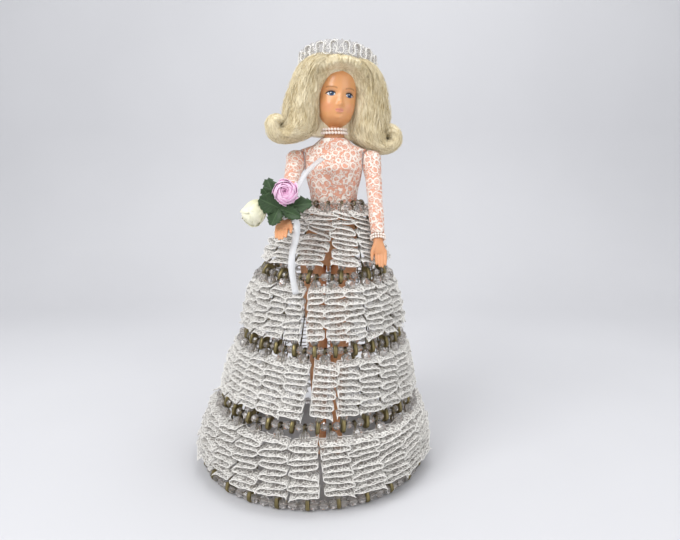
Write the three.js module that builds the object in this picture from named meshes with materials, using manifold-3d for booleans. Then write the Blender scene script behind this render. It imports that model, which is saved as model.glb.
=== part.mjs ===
import * as THREE from 'three';
import { mergeVertices } from 'three/addons/utils/BufferGeometryUtils.js';
import Module from 'manifold-3d';

const wasm = await Module();
wasm.setup();

// A fashion doll dressed as a bride. Her crinoline skirt is four tiers of brass safety pins,
// strung on elastic threads with clear beads, and each pin carries a gathered lace strip.
// Sizes are in millimetres, Z is up, the doll faces -Y, and the origin is on the table in the
// middle of the hem.

// Gaps between pieces
const fitGap = 0.3;
const jointGap = 0.5;
const clothGap = 0.35;

// The standing doll
const soleHeight = 2;
const legLength = 144;
const hipToWaist = 45;
const waistToShoulder = 30.5;
const waistToNeck = 44.5;
const neckBaseToHead = 10.5;
const hipHeight = soleHeight + legLength;
const waistHeight = hipHeight + hipToWaist;
const shoulderHeight = waistHeight + waistToShoulder;
const neckBaseHeight = waistHeight + waistToNeck;
const headHeight = neckBaseHeight + neckBaseToHead;
const dollX = 15;
const pelvisX = 11;

// Hollow body
const bodyWall = 1.8;
const waistHalfWidth = 15.4;
const waistHalfDepth = 10.6;
const bodySides = 14;

// Hips and legs
const hipSpacing = 11.2;
const hipBallRadius = 10.2;
const hipRodRadius = 2;
const hipRodGrip = 5;
const legCutSlope = 0.35;
const crotchDrop = 4.5;
const crotchHalfWidth = 0.9;
const crotchRise = 0.8;
const kneeRadius = 6.9;
const calfRadius = 7.1;
const ankleRadius = 4.1;
const footLength = 17;

// Shoulders, arms and hands
const shoulderSpacing = 27.4;
const armBallRadius = 5.4;
const upperArmRadius = 4.8;
const forearmRadius = 4.2;
const wristRadius = 3.3;
const armLength = 82;
const wristDrop = 62;
const armDrift = 4;
const armSides = 10;
const pegRadius = 2.6;
const pegFlangeRadius = 4.1;
const pegFlangeThickness = 1.2;
const pegFlangeSetback = 2.2;
const palmHalfWidth = 4.9;
const palmHalfThickness = 2.3;
const fingerRadius = 1.2;
const rightArmAngle = 52;
const handClearance = 1.6;

// Neck and head
const neckRadius = 7.6;
const neckStemRadius = 4;
const neckFlangeRadius = 6;
const neckBallRadius = 6;
const headRoll = 5.5;
const headTurn = 13;

// Lace blouse
const laceThickness = 0.65;
const bodiceHemRise = 2.4;
const bodiceNeckDrop = 0.4;
const sleeveEnd = 57.4;
const armholeRadius = 5;

// Pearls
const necklaceRise = 4.1;
const neckPearlRadius = 1.1;
const neckPearlCount = 20;
const cuffPearlRadius = 0.9;
const cuffPearlCount = 12;
const pearlThreadRadius = 0.35;

// Skirt threads and beads
const waistThreadGap = 4.1;
const firstRingRadius = 43;
const secondRingRadius = 55;
const thirdRingRadius = 68;
const hemRadius = 81;
const firstRingX = 8;
const secondRingX = 6.5;
const thirdRingX = 2.2;
const hemX = -0.8;
const threadRadius = 0.45;
const waistBeadRadius = 2;
const beadRadius = 2.8;
const hemBeadRadius = 3.8;
const hemBeadsPerGap = 3;
const beadSides = 3;

// Safety pins
const firstTierPins = 13;
const tierPins = 26;
const coilHalfWidth = 2;
const headHalfWidth = 3.75;
const coilThickness = 1.2;
const headThickness = 3;
const pinBar = 0.8;
const headReach = 5.4;
const joinThreadRadius = 0.4;
const slotGap = 0.4;

// Gathered lace strips
const laceGap = 0.5;
const laceTop = 8;
const laceFoot = 7.5;
const laceDip = 1.4;
const pleatDepth = 3.2;

// Hair, and the ruffle that stands on it
const hairGap = 0.4;
const ruffleTilt = 20;
const ruffleRise = 34.5;
const ruffleHeight = 11;
const rufflePleats = 18;
const ruffleWave = 2.6;
const ruffleThickness = 0.8;
const ruffleFlare = 0.8;
const bandHeight = 3;
const bandThickness = 0.9;

// Bouquet and its ribbons
const pinkRoseRadius = 7.6;
const creamRoseRadius = 8.2;
const stemRadius = 1.1;
const leafThickness = 0.6;
const ribbonWidth = 5.5;
const ribbonThickness = 0.5;
const ribbonLength = 50;
const upperRibbonWidth = 3.6;

const radians = THREE.MathUtils.degToRad;

// Closed body from a row of loops with the same number of points. An open row gets end caps.
function skin(loops, closed = false) {
  const count = loops[0].length;
  const points = loops.flat();
  const faces = [];
  const rows = closed ? loops.length : loops.length - 1;
  for (let row = 0; row < rows; row += 1) {
    const next = (row + 1) % loops.length;
    for (let i = 0; i < count; i += 1) {
      const j = (i + 1) % count;
      const a = row * count + i;
      const b = row * count + j;
      const c = next * count + j;
      const d = next * count + i;
      faces.push([a, b, c], [a, c, d]);
    }
  }
  if (!closed) {
    addCap(loops[0], 0, faces, true);
    addCap(loops[loops.length - 1], (loops.length - 1) * count, faces, false);
  }
  return bodyFrom(points, faces);
}

function addCap(loop, offset, faces, flip) {
  const normal = new THREE.Vector3();
  loop.forEach((p, i) => {
    const q = loop[(i + 1) % loop.length];
    normal.x += (p.y - q.y) * (p.z + q.z);
    normal.y += (p.z - q.z) * (p.x + q.x);
    normal.z += (p.x - q.x) * (p.y + q.y);
  });
  normal.normalize();
  const helper = Math.abs(normal.z) < 0.9 ? new THREE.Vector3(0, 0, 1) : new THREE.Vector3(1, 0, 0);
  const u = new THREE.Vector3().crossVectors(helper, normal).normalize();
  const w = new THREE.Vector3().crossVectors(normal, u);
  const flat = loop.map((p) => new THREE.Vector2(p.dot(u), p.dot(w)));
  for (const [a, b, c] of THREE.ShapeUtils.triangulateShape(flat, [])) {
    faces.push(flip ? [offset + a, offset + c, offset + b] : [offset + a, offset + b, offset + c]);
  }
}

// The faces all turn the same way round, and are turned over if the body is inside out.
function bodyFrom(points, faces) {
  let volume = 0;
  for (const [a, b, c] of faces) {
    volume += points[a].dot(new THREE.Vector3().crossVectors(points[b], points[c]));
  }
  const index = faces.flatMap(([a, b, c]) => (volume < 0 ? [a, c, b] : [a, b, c]));
  const geometry = new THREE.BufferGeometry();
  geometry.setAttribute('position', new THREE.Float32BufferAttribute(points.flatMap((p) => p.toArray()), 3));
  geometry.setIndex(index);
  return geometry;
}

function toSolid(source) {
  const geometry = source.clone();
  geometry.deleteAttribute('normal');
  geometry.deleteAttribute('uv');
  const merged = mergeVertices(geometry, 1e-4);
  return new wasm.Manifold(new wasm.Mesh({
    numProp: 3,
    vertProperties: new Float32Array(merged.attributes.position.array),
    triVerts: new Uint32Array(merged.index.array),
  }));
}

function toGeometry(solid) {
  const mesh = solid.getMesh();
  const geometry = new THREE.BufferGeometry();
  geometry.setAttribute('position', new THREE.BufferAttribute(mesh.vertProperties, 3));
  geometry.setIndex(new THREE.BufferAttribute(mesh.triVerts, 1));
  return geometry;
}

// A section is an oval with a centre, a half width, and a depth to the front and to the back.
function ovalPoint(section, angle, z = section.z) {
  const power = section.power ?? 1;
  const c = Math.cos(angle);
  const s = Math.sin(angle);
  const depth = s < 0 ? section.front : section.back;
  return new THREE.Vector3(
    (section.x ?? 0) + section.half * Math.sign(c) * Math.abs(c) ** power,
    (section.y ?? 0) + depth * Math.sign(s) * Math.abs(s) ** power,
    z,
  );
}

function ovalLoft(sections, sides) {
  return skin(sections.map((section) => {
    const loop = [];
    for (let i = 0; i < sides; i += 1) {
      loop.push(ovalPoint(section, 2 * Math.PI * (i + 0.5) / sides));
    }
    return loop;
  }));
}

// The section of a loft at any height, between the two that it lies between.
function sectionAt(sections, z) {
  let upper = sections.findIndex((section) => section.z >= z);
  if (upper < 0) upper = sections.length - 1;
  const a = sections[Math.max(upper - 1, 0)];
  const b = sections[upper];
  const share = b.z === a.z ? 0 : (z - a.z) / (b.z - a.z);
  const mix = (name, standard = 0) => THREE.MathUtils.lerp(a[name] ?? standard, b[name] ?? standard, share);
  return {
    z, x: mix('x'), y: mix('y'), half: mix('half'), front: mix('front'), back: mix('back'),
    power: mix('power', 1),
  };
}

// The same loft made larger all round, or smaller.
function grown(sections, by) {
  return sections.map((section, i) => ({
    ...section,
    z: section.z + (i === 0 ? -by : 0) + (i === sections.length - 1 ? by : 0),
    half: section.half + by,
    front: section.front + by,
    back: section.back + by,
  }));
}

// A part of a loft between two heights.
function between(sections, low, high) {
  const inner = sections.filter((section) => section.z > low && section.z < high);
  return [sectionAt(sections, low), ...inner, sectionAt(sections, high)];
}

// A round bar from one point to another, with a radius at each point.
function bar(points, radii, sides = 6) {
  const loops = points.map((p, i) => {
    const before = points[Math.max(i - 1, 0)];
    const after = points[Math.min(i + 1, points.length - 1)];
    const along = after.clone().sub(before).normalize();
    const helper = Math.abs(along.z) < 0.9 ? new THREE.Vector3(0, 0, 1) : new THREE.Vector3(0, 1, 0);
    const u = new THREE.Vector3().crossVectors(helper, along).normalize();
    const w = new THREE.Vector3().crossVectors(along, u);
    const radius = Array.isArray(radii) ? radii[i] : radii;
    const loop = [];
    for (let k = 0; k < sides; k += 1) {
      const angle = 2 * Math.PI * k / sides;
      loop.push(p.clone()
        .addScaledVector(u, radius * Math.cos(angle))
        .addScaledVector(w, radius * Math.sin(angle)));
    }
    return loop;
  });
  return skin(loops);
}

const at = (x, y, z) => new THREE.Vector3(x, y, z);

function cylinderX(from, to, radius, y, z, sides = 16) {
  return toSolid(bar([at(from, y, z), at(to, y, z)], radius, sides));
}

function ball(radius, x, y, z, across = 16, high = 10) {
  return toSolid(new THREE.SphereGeometry(radius, across, high).translate(x, y, z));
}

function box(low, high) {
  const size = high.clone().sub(low);
  const middle = high.clone().add(low).multiplyScalar(0.5);
  return toSolid(new THREE.BoxGeometry(size.x, size.y, size.z).translate(middle.x, middle.y, middle.z));
}

const vinyl = new THREE.MeshStandardMaterial({ color: 0xd9966b, roughness: 0.45 });
const lace = new THREE.MeshStandardMaterial({ color: 0xf1ebe6, roughness: 0.9 });
const brass = new THREE.MeshStandardMaterial({ color: 0x8a7536, roughness: 0.35, metalness: 1 });
const glass = new THREE.MeshStandardMaterial({ color: 0xddd3d0, roughness: 0.1 });
const pearl = new THREE.MeshStandardMaterial({ color: 0xf3e8d8, roughness: 0.3 });
const blonde = new THREE.MeshStandardMaterial({ color: 0xe6d9a8, roughness: 0.6 });
const satin = new THREE.MeshStandardMaterial({ color: 0xf6f7f8, roughness: 0.4 });
const pinkPetal = new THREE.MeshStandardMaterial({ color: 0xdf9cc4, roughness: 0.8 });
const creamPetal = new THREE.MeshStandardMaterial({ color: 0xefead2, roughness: 0.8 });
const leafGreen = new THREE.MeshStandardMaterial({ color: 0x2d4a2c, roughness: 0.6 });
const steelRod = new THREE.MeshStandardMaterial({ color: 0xb9b4aa, roughness: 0.5, metalness: 0.6 });

const bride = new THREE.Group();

function add(name, geometry, material, parent = bride) {
  const mesh = new THREE.Mesh(geometry, material);
  mesh.name = name;
  parent.add(mesh);
  return mesh;
}

// Body: two half shells that clamp the neck, the hip rod and the arm pegs between them.
// Heights here are measured from the waist, and the pelvis leans to one side.
const bodyOutline = [
  { z: -hipToWaist - crotchDrop, x: pelvisX - dollX, half: 7, front: 6, back: 6 },
  { z: -hipToWaist, x: pelvisX - dollX, half: 19, front: 12.5, back: 13.5, power: 0.9 },
  { z: -38, x: pelvisX - dollX, half: 21.3, front: 14, back: 15.4, power: 0.9 },
  { z: -28, x: -2.8, half: 21, front: 13.6, back: 15 },
  { z: -14, x: -0.8, half: 18.4, front: 12.2, back: 12.4 },
  { z: 0, half: waistHalfWidth, front: waistHalfDepth, back: 10 },
  { z: 9, half: 16.4, front: 11.4, back: 10.6, power: 0.95 },
  { z: 17, half: 18.3, front: 13.6, back: 11.2, power: 0.95 },
  { z: 24, half: 19.6, front: 17, back: 11.6, power: 0.95 },
  { z: 30.5, half: 19.6, front: 13.6, back: 11.2, power: 0.9 },
  { z: 35.9, half: 19.8, front: 10.4, back: 9.6, power: 0.9 },
  { z: 36.7, half: 23.4, front: 9.8, back: 9.2, power: 0.9 },
  { z: 40.5, half: 13.6, front: 8.8, back: 8.6 },
  { z: waistToNeck, half: 8.8, front: 8.2, back: 8.2 },
].map((section) => ({ ...section, x: dollX + (section.x ?? 0), z: section.z + waistHeight }));

const legX = (side) => pelvisX + side * hipSpacing;
const armX = (side) => dollX + side * shoulderSpacing;
const socketRadius = hipBallRadius + jointGap;
const sleeveClear = armBallRadius + clothGap + laceThickness + fitGap;

function makeBody() {
  const outer = toSolid(ovalLoft(bodyOutline, bodySides));
  const cavityFoot = hipHeight + socketRadius + bodyWall;
  const cavityOutline = between(bodyOutline, cavityFoot - bodyWall, neckBaseHeight);
  let body = outer.subtract(toSolid(ovalLoft(grown(cavityOutline, -bodyWall), bodySides)));
  for (const side of [-1, 1]) {
    body = body.subtract(ball(socketRadius, legX(side), 0, hipHeight));
    for (const slope of [0, Math.atan(legCutSlope)]) {
      const legCut = new THREE.BoxGeometry(60, 80, 60).translate(30, 0, -30);
      legCut.rotateY(-slope).translate(crotchHalfWidth, 0, crotchRise);
      if (side < 0) legCut.rotateZ(Math.PI);
      body = body.subtract(toSolid(legCut.translate(pelvisX, 0, hipHeight)));
    }
    body = body.subtract(cylinderX(dollX, armX(side), pegRadius + fitGap, 0, shoulderHeight, 8));
    body = body.subtract(ball(sleeveClear, armX(side), 0, shoulderHeight, 10, 8));
  }
  body = body.subtract(cylinderX(pelvisX - 40, pelvisX + 40, hipRodRadius + fitGap, 0, hipHeight, 12));
  const neckHole = new THREE.CylinderGeometry(neckStemRadius + fitGap, neckStemRadius + fitGap, 12, 12);
  neckHole.rotateX(Math.PI / 2).translate(dollX, 0, neckBaseHeight);
  body = body.subtract(toSolid(neckHole));
  const reach = 60;
  const low = hipHeight - reach;
  const high = neckBaseHeight + reach;
  const frontHalf = box(at(dollX - reach, -reach, low), at(dollX + reach, -fitGap / 2, high));
  const backHalf = box(at(dollX - reach, fitGap / 2, low), at(dollX + reach, reach, high));
  add('torso_front', toGeometry(body.intersect(frontHalf)), vinyl);
  add('torso_back', toGeometry(body.intersect(backHalf)), vinyl);
}

// Neck: a separate post whose flange is caught in the body and whose ball carries the head.
function makeNeck() {
  const stemTop = fitGap;
  const flangeTop = -bodyWall - fitGap;
  const postTop = neckBaseToHead - 4;
  const profile = [
    [0, flangeTop - 1.4], [neckFlangeRadius, flangeTop - 1.4], [neckFlangeRadius, flangeTop],
    [neckStemRadius, flangeTop], [neckStemRadius, stemTop], [neckRadius + 0.4, stemTop],
    [neckRadius, stemTop + 1.5], [neckRadius, postTop - 1], [4.6, postTop],
  ];
  for (const degrees of [-35, 0, 35, 65]) {
    const angle = radians(degrees);
    profile.push([neckBallRadius * Math.cos(angle), neckBaseToHead + neckBallRadius * Math.sin(angle)]);
  }
  profile.push([0, neckBaseToHead + neckBallRadius]);
  const post = new THREE.LatheGeometry(profile.map(([r, z]) => new THREE.Vector2(r, z)), 10);
  post.rotateX(Math.PI / 2).translate(dollX, 0, neckBaseHeight);
  add('neck_post', toGeometry(toSolid(post)), vinyl);
}

// Hip rod: joins the two legs through the pelvis.
function makeHipRod() {
  const reach = hipSpacing + hipRodGrip;
  const rod = cylinderX(pelvisX - reach, pelvisX + reach, hipRodRadius, 0, hipHeight, 12);
  add('hip_rod', toGeometry(rod), steelRod);
}

// Legs: solid vinyl, on tiptoe, hung at the hip rod. Heights are measured from the hip pivot.
function makeLeg(name, side) {
  const drop = (height) => height - legLength;
  const knee = drop(76);
  const inward = (offset) => side * (offset - hipSpacing);
  const toeY = -footLength;
  const stations = [
    { z: drop(0), y: toeY * 0.72, x: inward(6.4), half: 3.2, front: 4.4, back: 4 },
    { z: drop(3.2), y: toeY * 0.55, x: inward(6.3), half: 4, front: 6.2, back: 6 },
    { z: drop(9), y: toeY * 0.3, x: inward(6.2), half: 4.1, front: 6, back: 5.6 },
    { z: drop(16), y: -0.6, x: inward(6.2), half: ankleRadius, front: 4.4, back: 5.4 },
    { z: drop(26), x: inward(6.6), half: ankleRadius + 0.4, front: 4.6, back: 5 },
    { z: drop(55), y: 0.8, x: inward(7.8), half: calfRadius, front: 6.8, back: 7.8 },
    { z: knee, x: inward(7.7), half: kneeRadius, front: 7.4, back: 7 },
    { z: knee + 26, x: inward(9), half: 8.4, front: 8.6, back: 8.6 },
    { z: -12, x: inward(10.9), half: 9.5, front: 9.7, back: 9.7 },
    { z: -4, half: hipBallRadius - 0.6, front: hipBallRadius - 0.6, back: hipBallRadius - 0.6 },
    { z: 0, half: hipBallRadius, front: hipBallRadius, back: hipBallRadius },
  ];
  for (const degrees of [30, 60]) {
    const radius = hipBallRadius * Math.cos(radians(degrees));
    const height = hipBallRadius * Math.sin(radians(degrees));
    stations.push({ z: height, half: radius, front: radius, back: radius });
  }
  const boreDepth = hipRodGrip + 1;
  const boreRadius = hipRodRadius + fitGap;
  const bore = cylinderX(-side * hipSpacing, side * boreDepth, boreRadius, 0, 0, 12);
  const leg = toSolid(ovalLoft(stations, 10)).subtract(bore);
  const hip = new THREE.Group();
  hip.position.set(legX(side), 0, hipHeight);
  bride.add(hip);
  add(name, toGeometry(leg), vinyl, hip);
}

// Arms: straight vinyl arms on pegs. Heights are measured down from the shoulder pivot.
const armOutline = (side) => {
  const drift = (z) => side * armDrift * Math.max(-z, 0) / armLength;
  const round = (z, radius) => ({ z, x: drift(z), half: radius, front: radius, back: radius });
  return [
    round(-wristDrop, wristRadius),
    round(-wristDrop + 8, wristRadius + 0.25),
    round(-46, forearmRadius),
    round(-33, forearmRadius - 0.1),
    round(-18, upperArmRadius - 0.2),
    round(-6, upperArmRadius + 0.2),
    round(0, armBallRadius),
    round(armBallRadius * 0.55, armBallRadius * 0.84),
    round(armBallRadius * 0.9, armBallRadius * 0.44),
  ];
};

const handX = (side, z) => side * armDrift * -z / armLength;
const knuckleDrop = wristDrop + 8.5;

function palmOutline(side) {
  const x = handX(side, -wristDrop);
  const knuckleX = handX(side, -knuckleDrop);
  const wide = palmHalfWidth;
  const deep = palmHalfThickness;
  return [
    { z: -knuckleDrop - 1, x: knuckleX, half: wide - 0.3, front: deep - 0.6, back: deep - 0.6, power: 0.7 },
    { z: -knuckleDrop + 1.5, x: knuckleX, half: wide, front: deep, back: deep - 0.2, power: 0.8 },
    { z: -wristDrop - 3, x, half: wide - 1, front: deep + 0.3, back: deep + 0.2 },
    { z: -wristDrop + 0.5, x, half: wristRadius, front: wristRadius, back: wristRadius },
  ];
}

function makeHand(side) {
  const wrist = -wristDrop;
  const knuckles = -knuckleDrop;
  const x = (z) => handX(side, z);
  let hand = toSolid(ovalLoft(palmOutline(side), 8));
  const spread = 2 * (palmHalfWidth - fingerRadius) / 3;
  const lengths = [9.5, 11, 11.5, 10];
  lengths.forEach((length, i) => {
    const rootX = x(knuckles) - side * (1.5 - i) * spread;
    const tipX = x(knuckles) - side * (1.5 - i) * (spread + 0.45);
    const tip = knuckles - length + 0.5;
    const points = [at(rootX, 0, knuckles + 1), at(tipX, -0.2, tip)];
    hand = hand.add(toSolid(bar(points, [fingerRadius * 1.1, fingerRadius * 0.8], 4)));
  });
  const thumbRoot = at(x(wrist) - side * (palmHalfWidth - 2), -1.2, wrist - 5);
  const thumbTip = at(x(wrist) - side * (palmHalfWidth - 0.7), -2.9, wrist - 12);
  return hand.add(toSolid(bar([thumbRoot, thumbTip], [1.5, 1], 5)));
}

// A section of a thread or bead, upright on a ring that runs at a right angle to out. Its first
// corner is at the bottom unless another place is given.
function threadSection(centre, out, size, sides, first = -Math.PI / 2) {
  const loop = [];
  for (let i = 0; i < sides; i += 1) {
    const angle = first + 2 * Math.PI * i / sides;
    const corner = centre.clone().addScaledVector(out, size * Math.cos(angle));
    loop.push(corner.add(at(0, 0, size * Math.sin(angle))));
  }
  return loop;
}

// A ring of pearls on a thread round a wrist or the neck.
function pearlRing(radius, centreX, height, pearls, pearlRadius) {
  const loops = [];
  for (let i = 0; i < pearls; i += 1) {
    for (const [step, size] of [[0, pearlThreadRadius], [0.5, pearlRadius]]) {
      const angle = 2 * Math.PI * (i + step) / pearls;
      const out = at(Math.cos(angle), Math.sin(angle), 0);
      const centre = at(centreX, 0, height).addScaledVector(out, radius);
      loops.push(threadSection(centre, out, size, 3));
    }
  }
  return skin(loops, true);
}

function makeArm(side, name, angle) {
  const shoulder = new THREE.Group();
  shoulder.position.set(armX(side), 0, shoulderHeight);
  shoulder.rotation.x = -radians(angle);
  bride.add(shoulder);

  const outline = armOutline(side);
  let arm = toSolid(ovalLoft(outline, armSides)).add(makeHand(side));
  const wallInside = sectionAt(bodyOutline, shoulderHeight).half - bodyWall;
  const flangeOuter = side * (wallInside - shoulderSpacing - pegFlangeSetback);
  const flangeInner = flangeOuter - side * pegFlangeThickness;
  arm = arm.add(cylinderX(-side * (armBallRadius - 2), flangeInner, pegRadius, 0, 0, 8));
  arm = arm.add(cylinderX(flangeOuter, flangeInner, pegFlangeRadius, 0, 0, 8));
  add(`arm_${name}`, toGeometry(arm), vinyl, shoulder);

  const outer = grown(outline, clothGap + laceThickness);
  const inner = grown(outline, clothGap);
  const clear = -sleeveEnd - 4;
  let sleeve = toSolid(ovalLoft(between(outer, -sleeveEnd, outer[outer.length - 1].z), armSides));
  sleeve = sleeve.subtract(toSolid(ovalLoft(between(inner, clear, inner[inner.length - 1].z), armSides)));
  sleeve = sleeve.subtract(cylinderX(0, -side * (armBallRadius + 4), armholeRadius - 1.4, 0, 0, 12));
  add(`sleeve_${name}`, toGeometry(sleeve), lace, shoulder);

  for (const [label, place] of [['upper', 1], ['lower', 3.1]]) {
    const height = -sleeveEnd - fitGap - cuffPearlRadius * place;
    const section = sectionAt(outline, height);
    const reach = section.half + fitGap + cuffPearlRadius;
    const ring = pearlRing(reach, section.x, height, cuffPearlCount, cuffPearlRadius);
    add(`cuff_pearls_${name}_${label}`, ring, pearl, shoulder);
  }
  return shoulder;
}

// Blouse body: lace over the upper body, open at the neck, the waist and the armholes.
function makeBodice() {
  const low = waistHeight + bodiceHemRise;
  const high = neckBaseHeight - bodiceNeckDrop;
  const outer = grown(bodyOutline, clothGap + laceThickness);
  const inner = grown(bodyOutline, clothGap);
  let bodice = toSolid(ovalLoft(between(outer, low, high), bodySides));
  bodice = bodice.subtract(toSolid(ovalLoft(between(inner, low - 2, high + 0.6), bodySides)));
  for (const side of [-1, 1]) {
    bodice = bodice.subtract(ball(sleeveClear, armX(side), 0, shoulderHeight, 10, 8));
    bodice = bodice.subtract(cylinderX(dollX + side * 10, armX(side), armholeRadius, 0, shoulderHeight));
  }
  add('bodice', toGeometry(bodice), lace);
}

// Skirt rings: the thread of the waist and of each tier's foot, from the top down.
const hemHeight = hemBeadRadius;
const tierDrop = (waistHeight - hemHeight) / 4;
const ringLevel = (number) => waistHeight - number * tierDrop;
const rings = [
  {
    x: dollX + 0.3,
    rx: waistHalfWidth + waistThreadGap,
    ry: waistHalfDepth + waistThreadGap + 1.2,
    bead: waistBeadRadius,
  },
  { x: firstRingX, rx: firstRingRadius, ry: firstRingRadius, bead: beadRadius },
  { x: secondRingX, rx: secondRingRadius, ry: secondRingRadius, bead: beadRadius },
  { x: thirdRingX, rx: thirdRingRadius, ry: thirdRingRadius, bead: beadRadius },
  { x: hemX, rx: hemRadius, ry: hemRadius, bead: hemBeadRadius },
];

// Tiers: the angle of one pin, how far the pins lean round the skirt, how far the lace stands
// out, its number of folds, and the place and half width of the slit between two strips.
const tiers = [
  { name: 'tier_1', pins: firstTierPins, first: -102, lean: 0, out: 7.4, folds: 4, slit: 3.4 },
  { name: 'tier_2', pins: tierPins, first: -95.1, lean: 1.6, out: 8.4, folds: 4, slit: 2.6 },
  { name: 'tier_3', pins: tierPins, first: -86.6, lean: -0.9, out: 8.2, folds: 4, slit: 3 },
  { name: 'tier_4', pins: tierPins, first: -80.6, lean: 4.4, out: 10.8, folds: 4, slit: 1.2 },
];

const pinAngle = (tier, i) => radians(tiers[tier].first + 360 * i / tiers[tier].pins);
const footAngle = (tier, i) => pinAngle(tier, i) + radians(tiers[tier].lean);

function ringPoint(number, angle) {
  const ring = rings[number];
  return at(ring.x + ring.rx * Math.cos(angle), ring.ry * Math.sin(angle), ringLevel(number));
}

// The frame of one pin: along it from the upper thread, out from the skirt, and across.
function pinFrame(tier, angle) {
  const top = ringPoint(tier, angle);
  const foot = ringPoint(tier + 1, angle + radians(tiers[tier].lean));
  const along = foot.clone().sub(top);
  const length = along.length();
  along.normalize();
  const out = at(Math.cos(angle), Math.sin(angle), 0);
  out.addScaledVector(along, -out.dot(along)).normalize();
  const across = new THREE.Vector3().crossVectors(out, along);
  const place = (s, w, h = 0) => top.clone()
    .addScaledVector(along, s)
    .addScaledVector(out, w)
    .addScaledVector(across, h);
  return { length, along, out, across, top, place };
}

const pinHalfWidth = (share) => THREE.MathUtils.lerp(coilHalfWidth, headHalfWidth, share);
const pinThickness = (share) => THREE.MathUtils.lerp(coilThickness, headThickness, share);

// Angles of the pins and coils that a thread runs through, all the way round.
function stations(number) {
  const list = [];
  if (number > 0) {
    for (let i = 0; i < tiers[number - 1].pins; i += 1) list.push(footAngle(number - 1, i));
  }
  if (number < tiers.length) {
    for (let i = 0; i < tiers[number].pins; i += 1) list.push(pinAngle(number, i));
  }
  const turn = 2 * Math.PI;
  return list.map((angle) => ((angle % turn) + turn) % turn).sort((a, b) => a - b);
}

function pinSizes(tier) {
  const coilTop = -(rings[tier].bead + fitGap + 2 * joinThreadRadius + 0.3);
  return {
    coilTop,
    joinAt: coilTop + joinThreadRadius + 0.3,
    slotTop: -threadRadius - slotGap,
    slotFoot: threadRadius + slotGap,
  };
}

// One safety pin seen from its edge: a long loop with a coil above and a clasp head below, flat
// outside and with a ridge towards its slot.
// The heads of the last tier are flat where they stand on the table.
function pinBody(tier, angle) {
  const { length, top, along, out, across, place } = pinFrame(tier, angle);
  const sizes = pinSizes(tier);
  const stands = tier === tiers.length - 1;
  const edges = (s, inset) => {
    const half = pinHalfWidth(THREE.MathUtils.clamp(s / length, 0, 1)) - inset;
    return [[s, -half], [s, half]];
  };
  const [topIn, topOut] = edges(sizes.coilTop, 0);
  const [footIn, footOut] = edges(length + headReach, 0);
  const [slotTopIn, slotTopOut] = edges(sizes.slotTop, pinBar);
  const [slotFootIn, slotFootOut] = edges(length + sizes.slotFoot, pinBar);
  const outer = [topIn, topOut, footOut, footIn];
  const inner = [slotTopIn, slotTopOut, slotFootOut, slotFootIn];
  const corner = (s, w, face) => {
    const h = face * pinThickness(THREE.MathUtils.clamp(s / length, 0, 1)) / 2;
    const atFoot = stands && s === length + headReach;
    const end = -(top.z + out.z * w + across.z * h) / along.z;
    return place(atFoot ? end : s, w, h);
  };
  const row = (loop, face) => loop.map(([s, w]) => corner(s, w, face));
  return skin([row(outer, 1), row(inner, 0), row(outer, -1)], true);
}

// The pins of a tier hang from one thread through the top of their coils.
function makePins(tier) {
  const { joinAt } = pinSizes(tier);
  const points = [];
  for (let i = 0; i < tiers[tier].pins; i += 1) {
    points.push(pinFrame(tier, pinAngle(tier, i)).place(joinAt, 0));
  }
  const thread = points.map((p, i) => {
    const out = at(Math.cos(pinAngle(tier, i)), Math.sin(pinAngle(tier, i)), 0);
    return threadSection(p, out, joinThreadRadius, 3, 0);
  });
  let pins = toSolid(skin(thread, true));
  for (let i = 0; i < tiers[tier].pins; i += 1) {
    pins = pins.add(toSolid(pinBody(tier, pinAngle(tier, i))));
  }
  add(`${tiers[tier].name}_pins`, toGeometry(pins), brass);
}

// A thread with clear faceted beads between the pins that it runs through.
function makeBeads(number, name) {
  const list = stations(number);
  const parts = number === tiers.length ? hemBeadsPerGap : 1;
  const loops = [];
  const section = (angle, size) => {
    const out = at(Math.cos(angle), Math.sin(angle), 0);
    loops.push(threadSection(ringPoint(number, angle), out, size, beadSides));
  };
  list.forEach((angle, i) => {
    const next = i + 1 < list.length ? list[i + 1] : list[0] + 2 * Math.PI;
    for (let part = 0; part < parts; part += 1) {
      section(THREE.MathUtils.lerp(angle, next, part / parts), threadRadius);
      section(THREE.MathUtils.lerp(angle, next, (part + 0.5) / parts), rings[number].bead);
    }
  });
  add(name, skin(loops, true), glass);
}

// Gathered lace: strips folded up and down, side by side round the tier, with one slit.
function makeLace(tier) {
  const { pins, out, folds, slit, name } = tiers[tier];
  const pitch = 2 * Math.PI / pins;
  const slitAngle = pinAngle(tier, 0) - pitch / 2;
  const meanRadius = (rings[tier].rx + rings[tier + 1].rx) / 2;
  const halfSlit = slit / meanRadius;
  const profile = (angle, dip) => {
    const { length, place } = pinFrame(tier, angle);
    const foot = length - laceFoot;
    const inner = (s) => pinHalfWidth(s / length) + laceGap;
    const steps = 2 * folds - 2;
    const loop = [place(laceTop, inner(laceTop))];
    for (let step = 0; step <= steps; step += 1) {
      const share = step / steps;
      const s = THREE.MathUtils.lerp(laceTop, foot, share);
      const swell = 0.72 + 0.28 * Math.sin(Math.PI * (0.2 + 0.65 * share));
      const ridge = out * swell - dip;
      const w = step % 2 === 0 ? ridge : ridge - pleatDepth;
      loop.push(place(s, Math.max(w, inner(s) + 0.6)));
    }
    loop.push(place(foot, inner(foot)));
    return loop;
  };
  const loops = [profile(slitAngle + halfSlit, laceDip)];
  for (let i = 0; i < pins; i += 1) {
    loops.push(profile(slitAngle + pitch * (i + 0.5), 0));
    if (i < pins - 1) loops.push(profile(slitAngle + pitch * (i + 1), laceDip));
  }
  loops.push(profile(slitAngle + 2 * Math.PI - halfSlit, laceDip));
  add(`${name}_lace`, skin(loops), lace);
}

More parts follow.
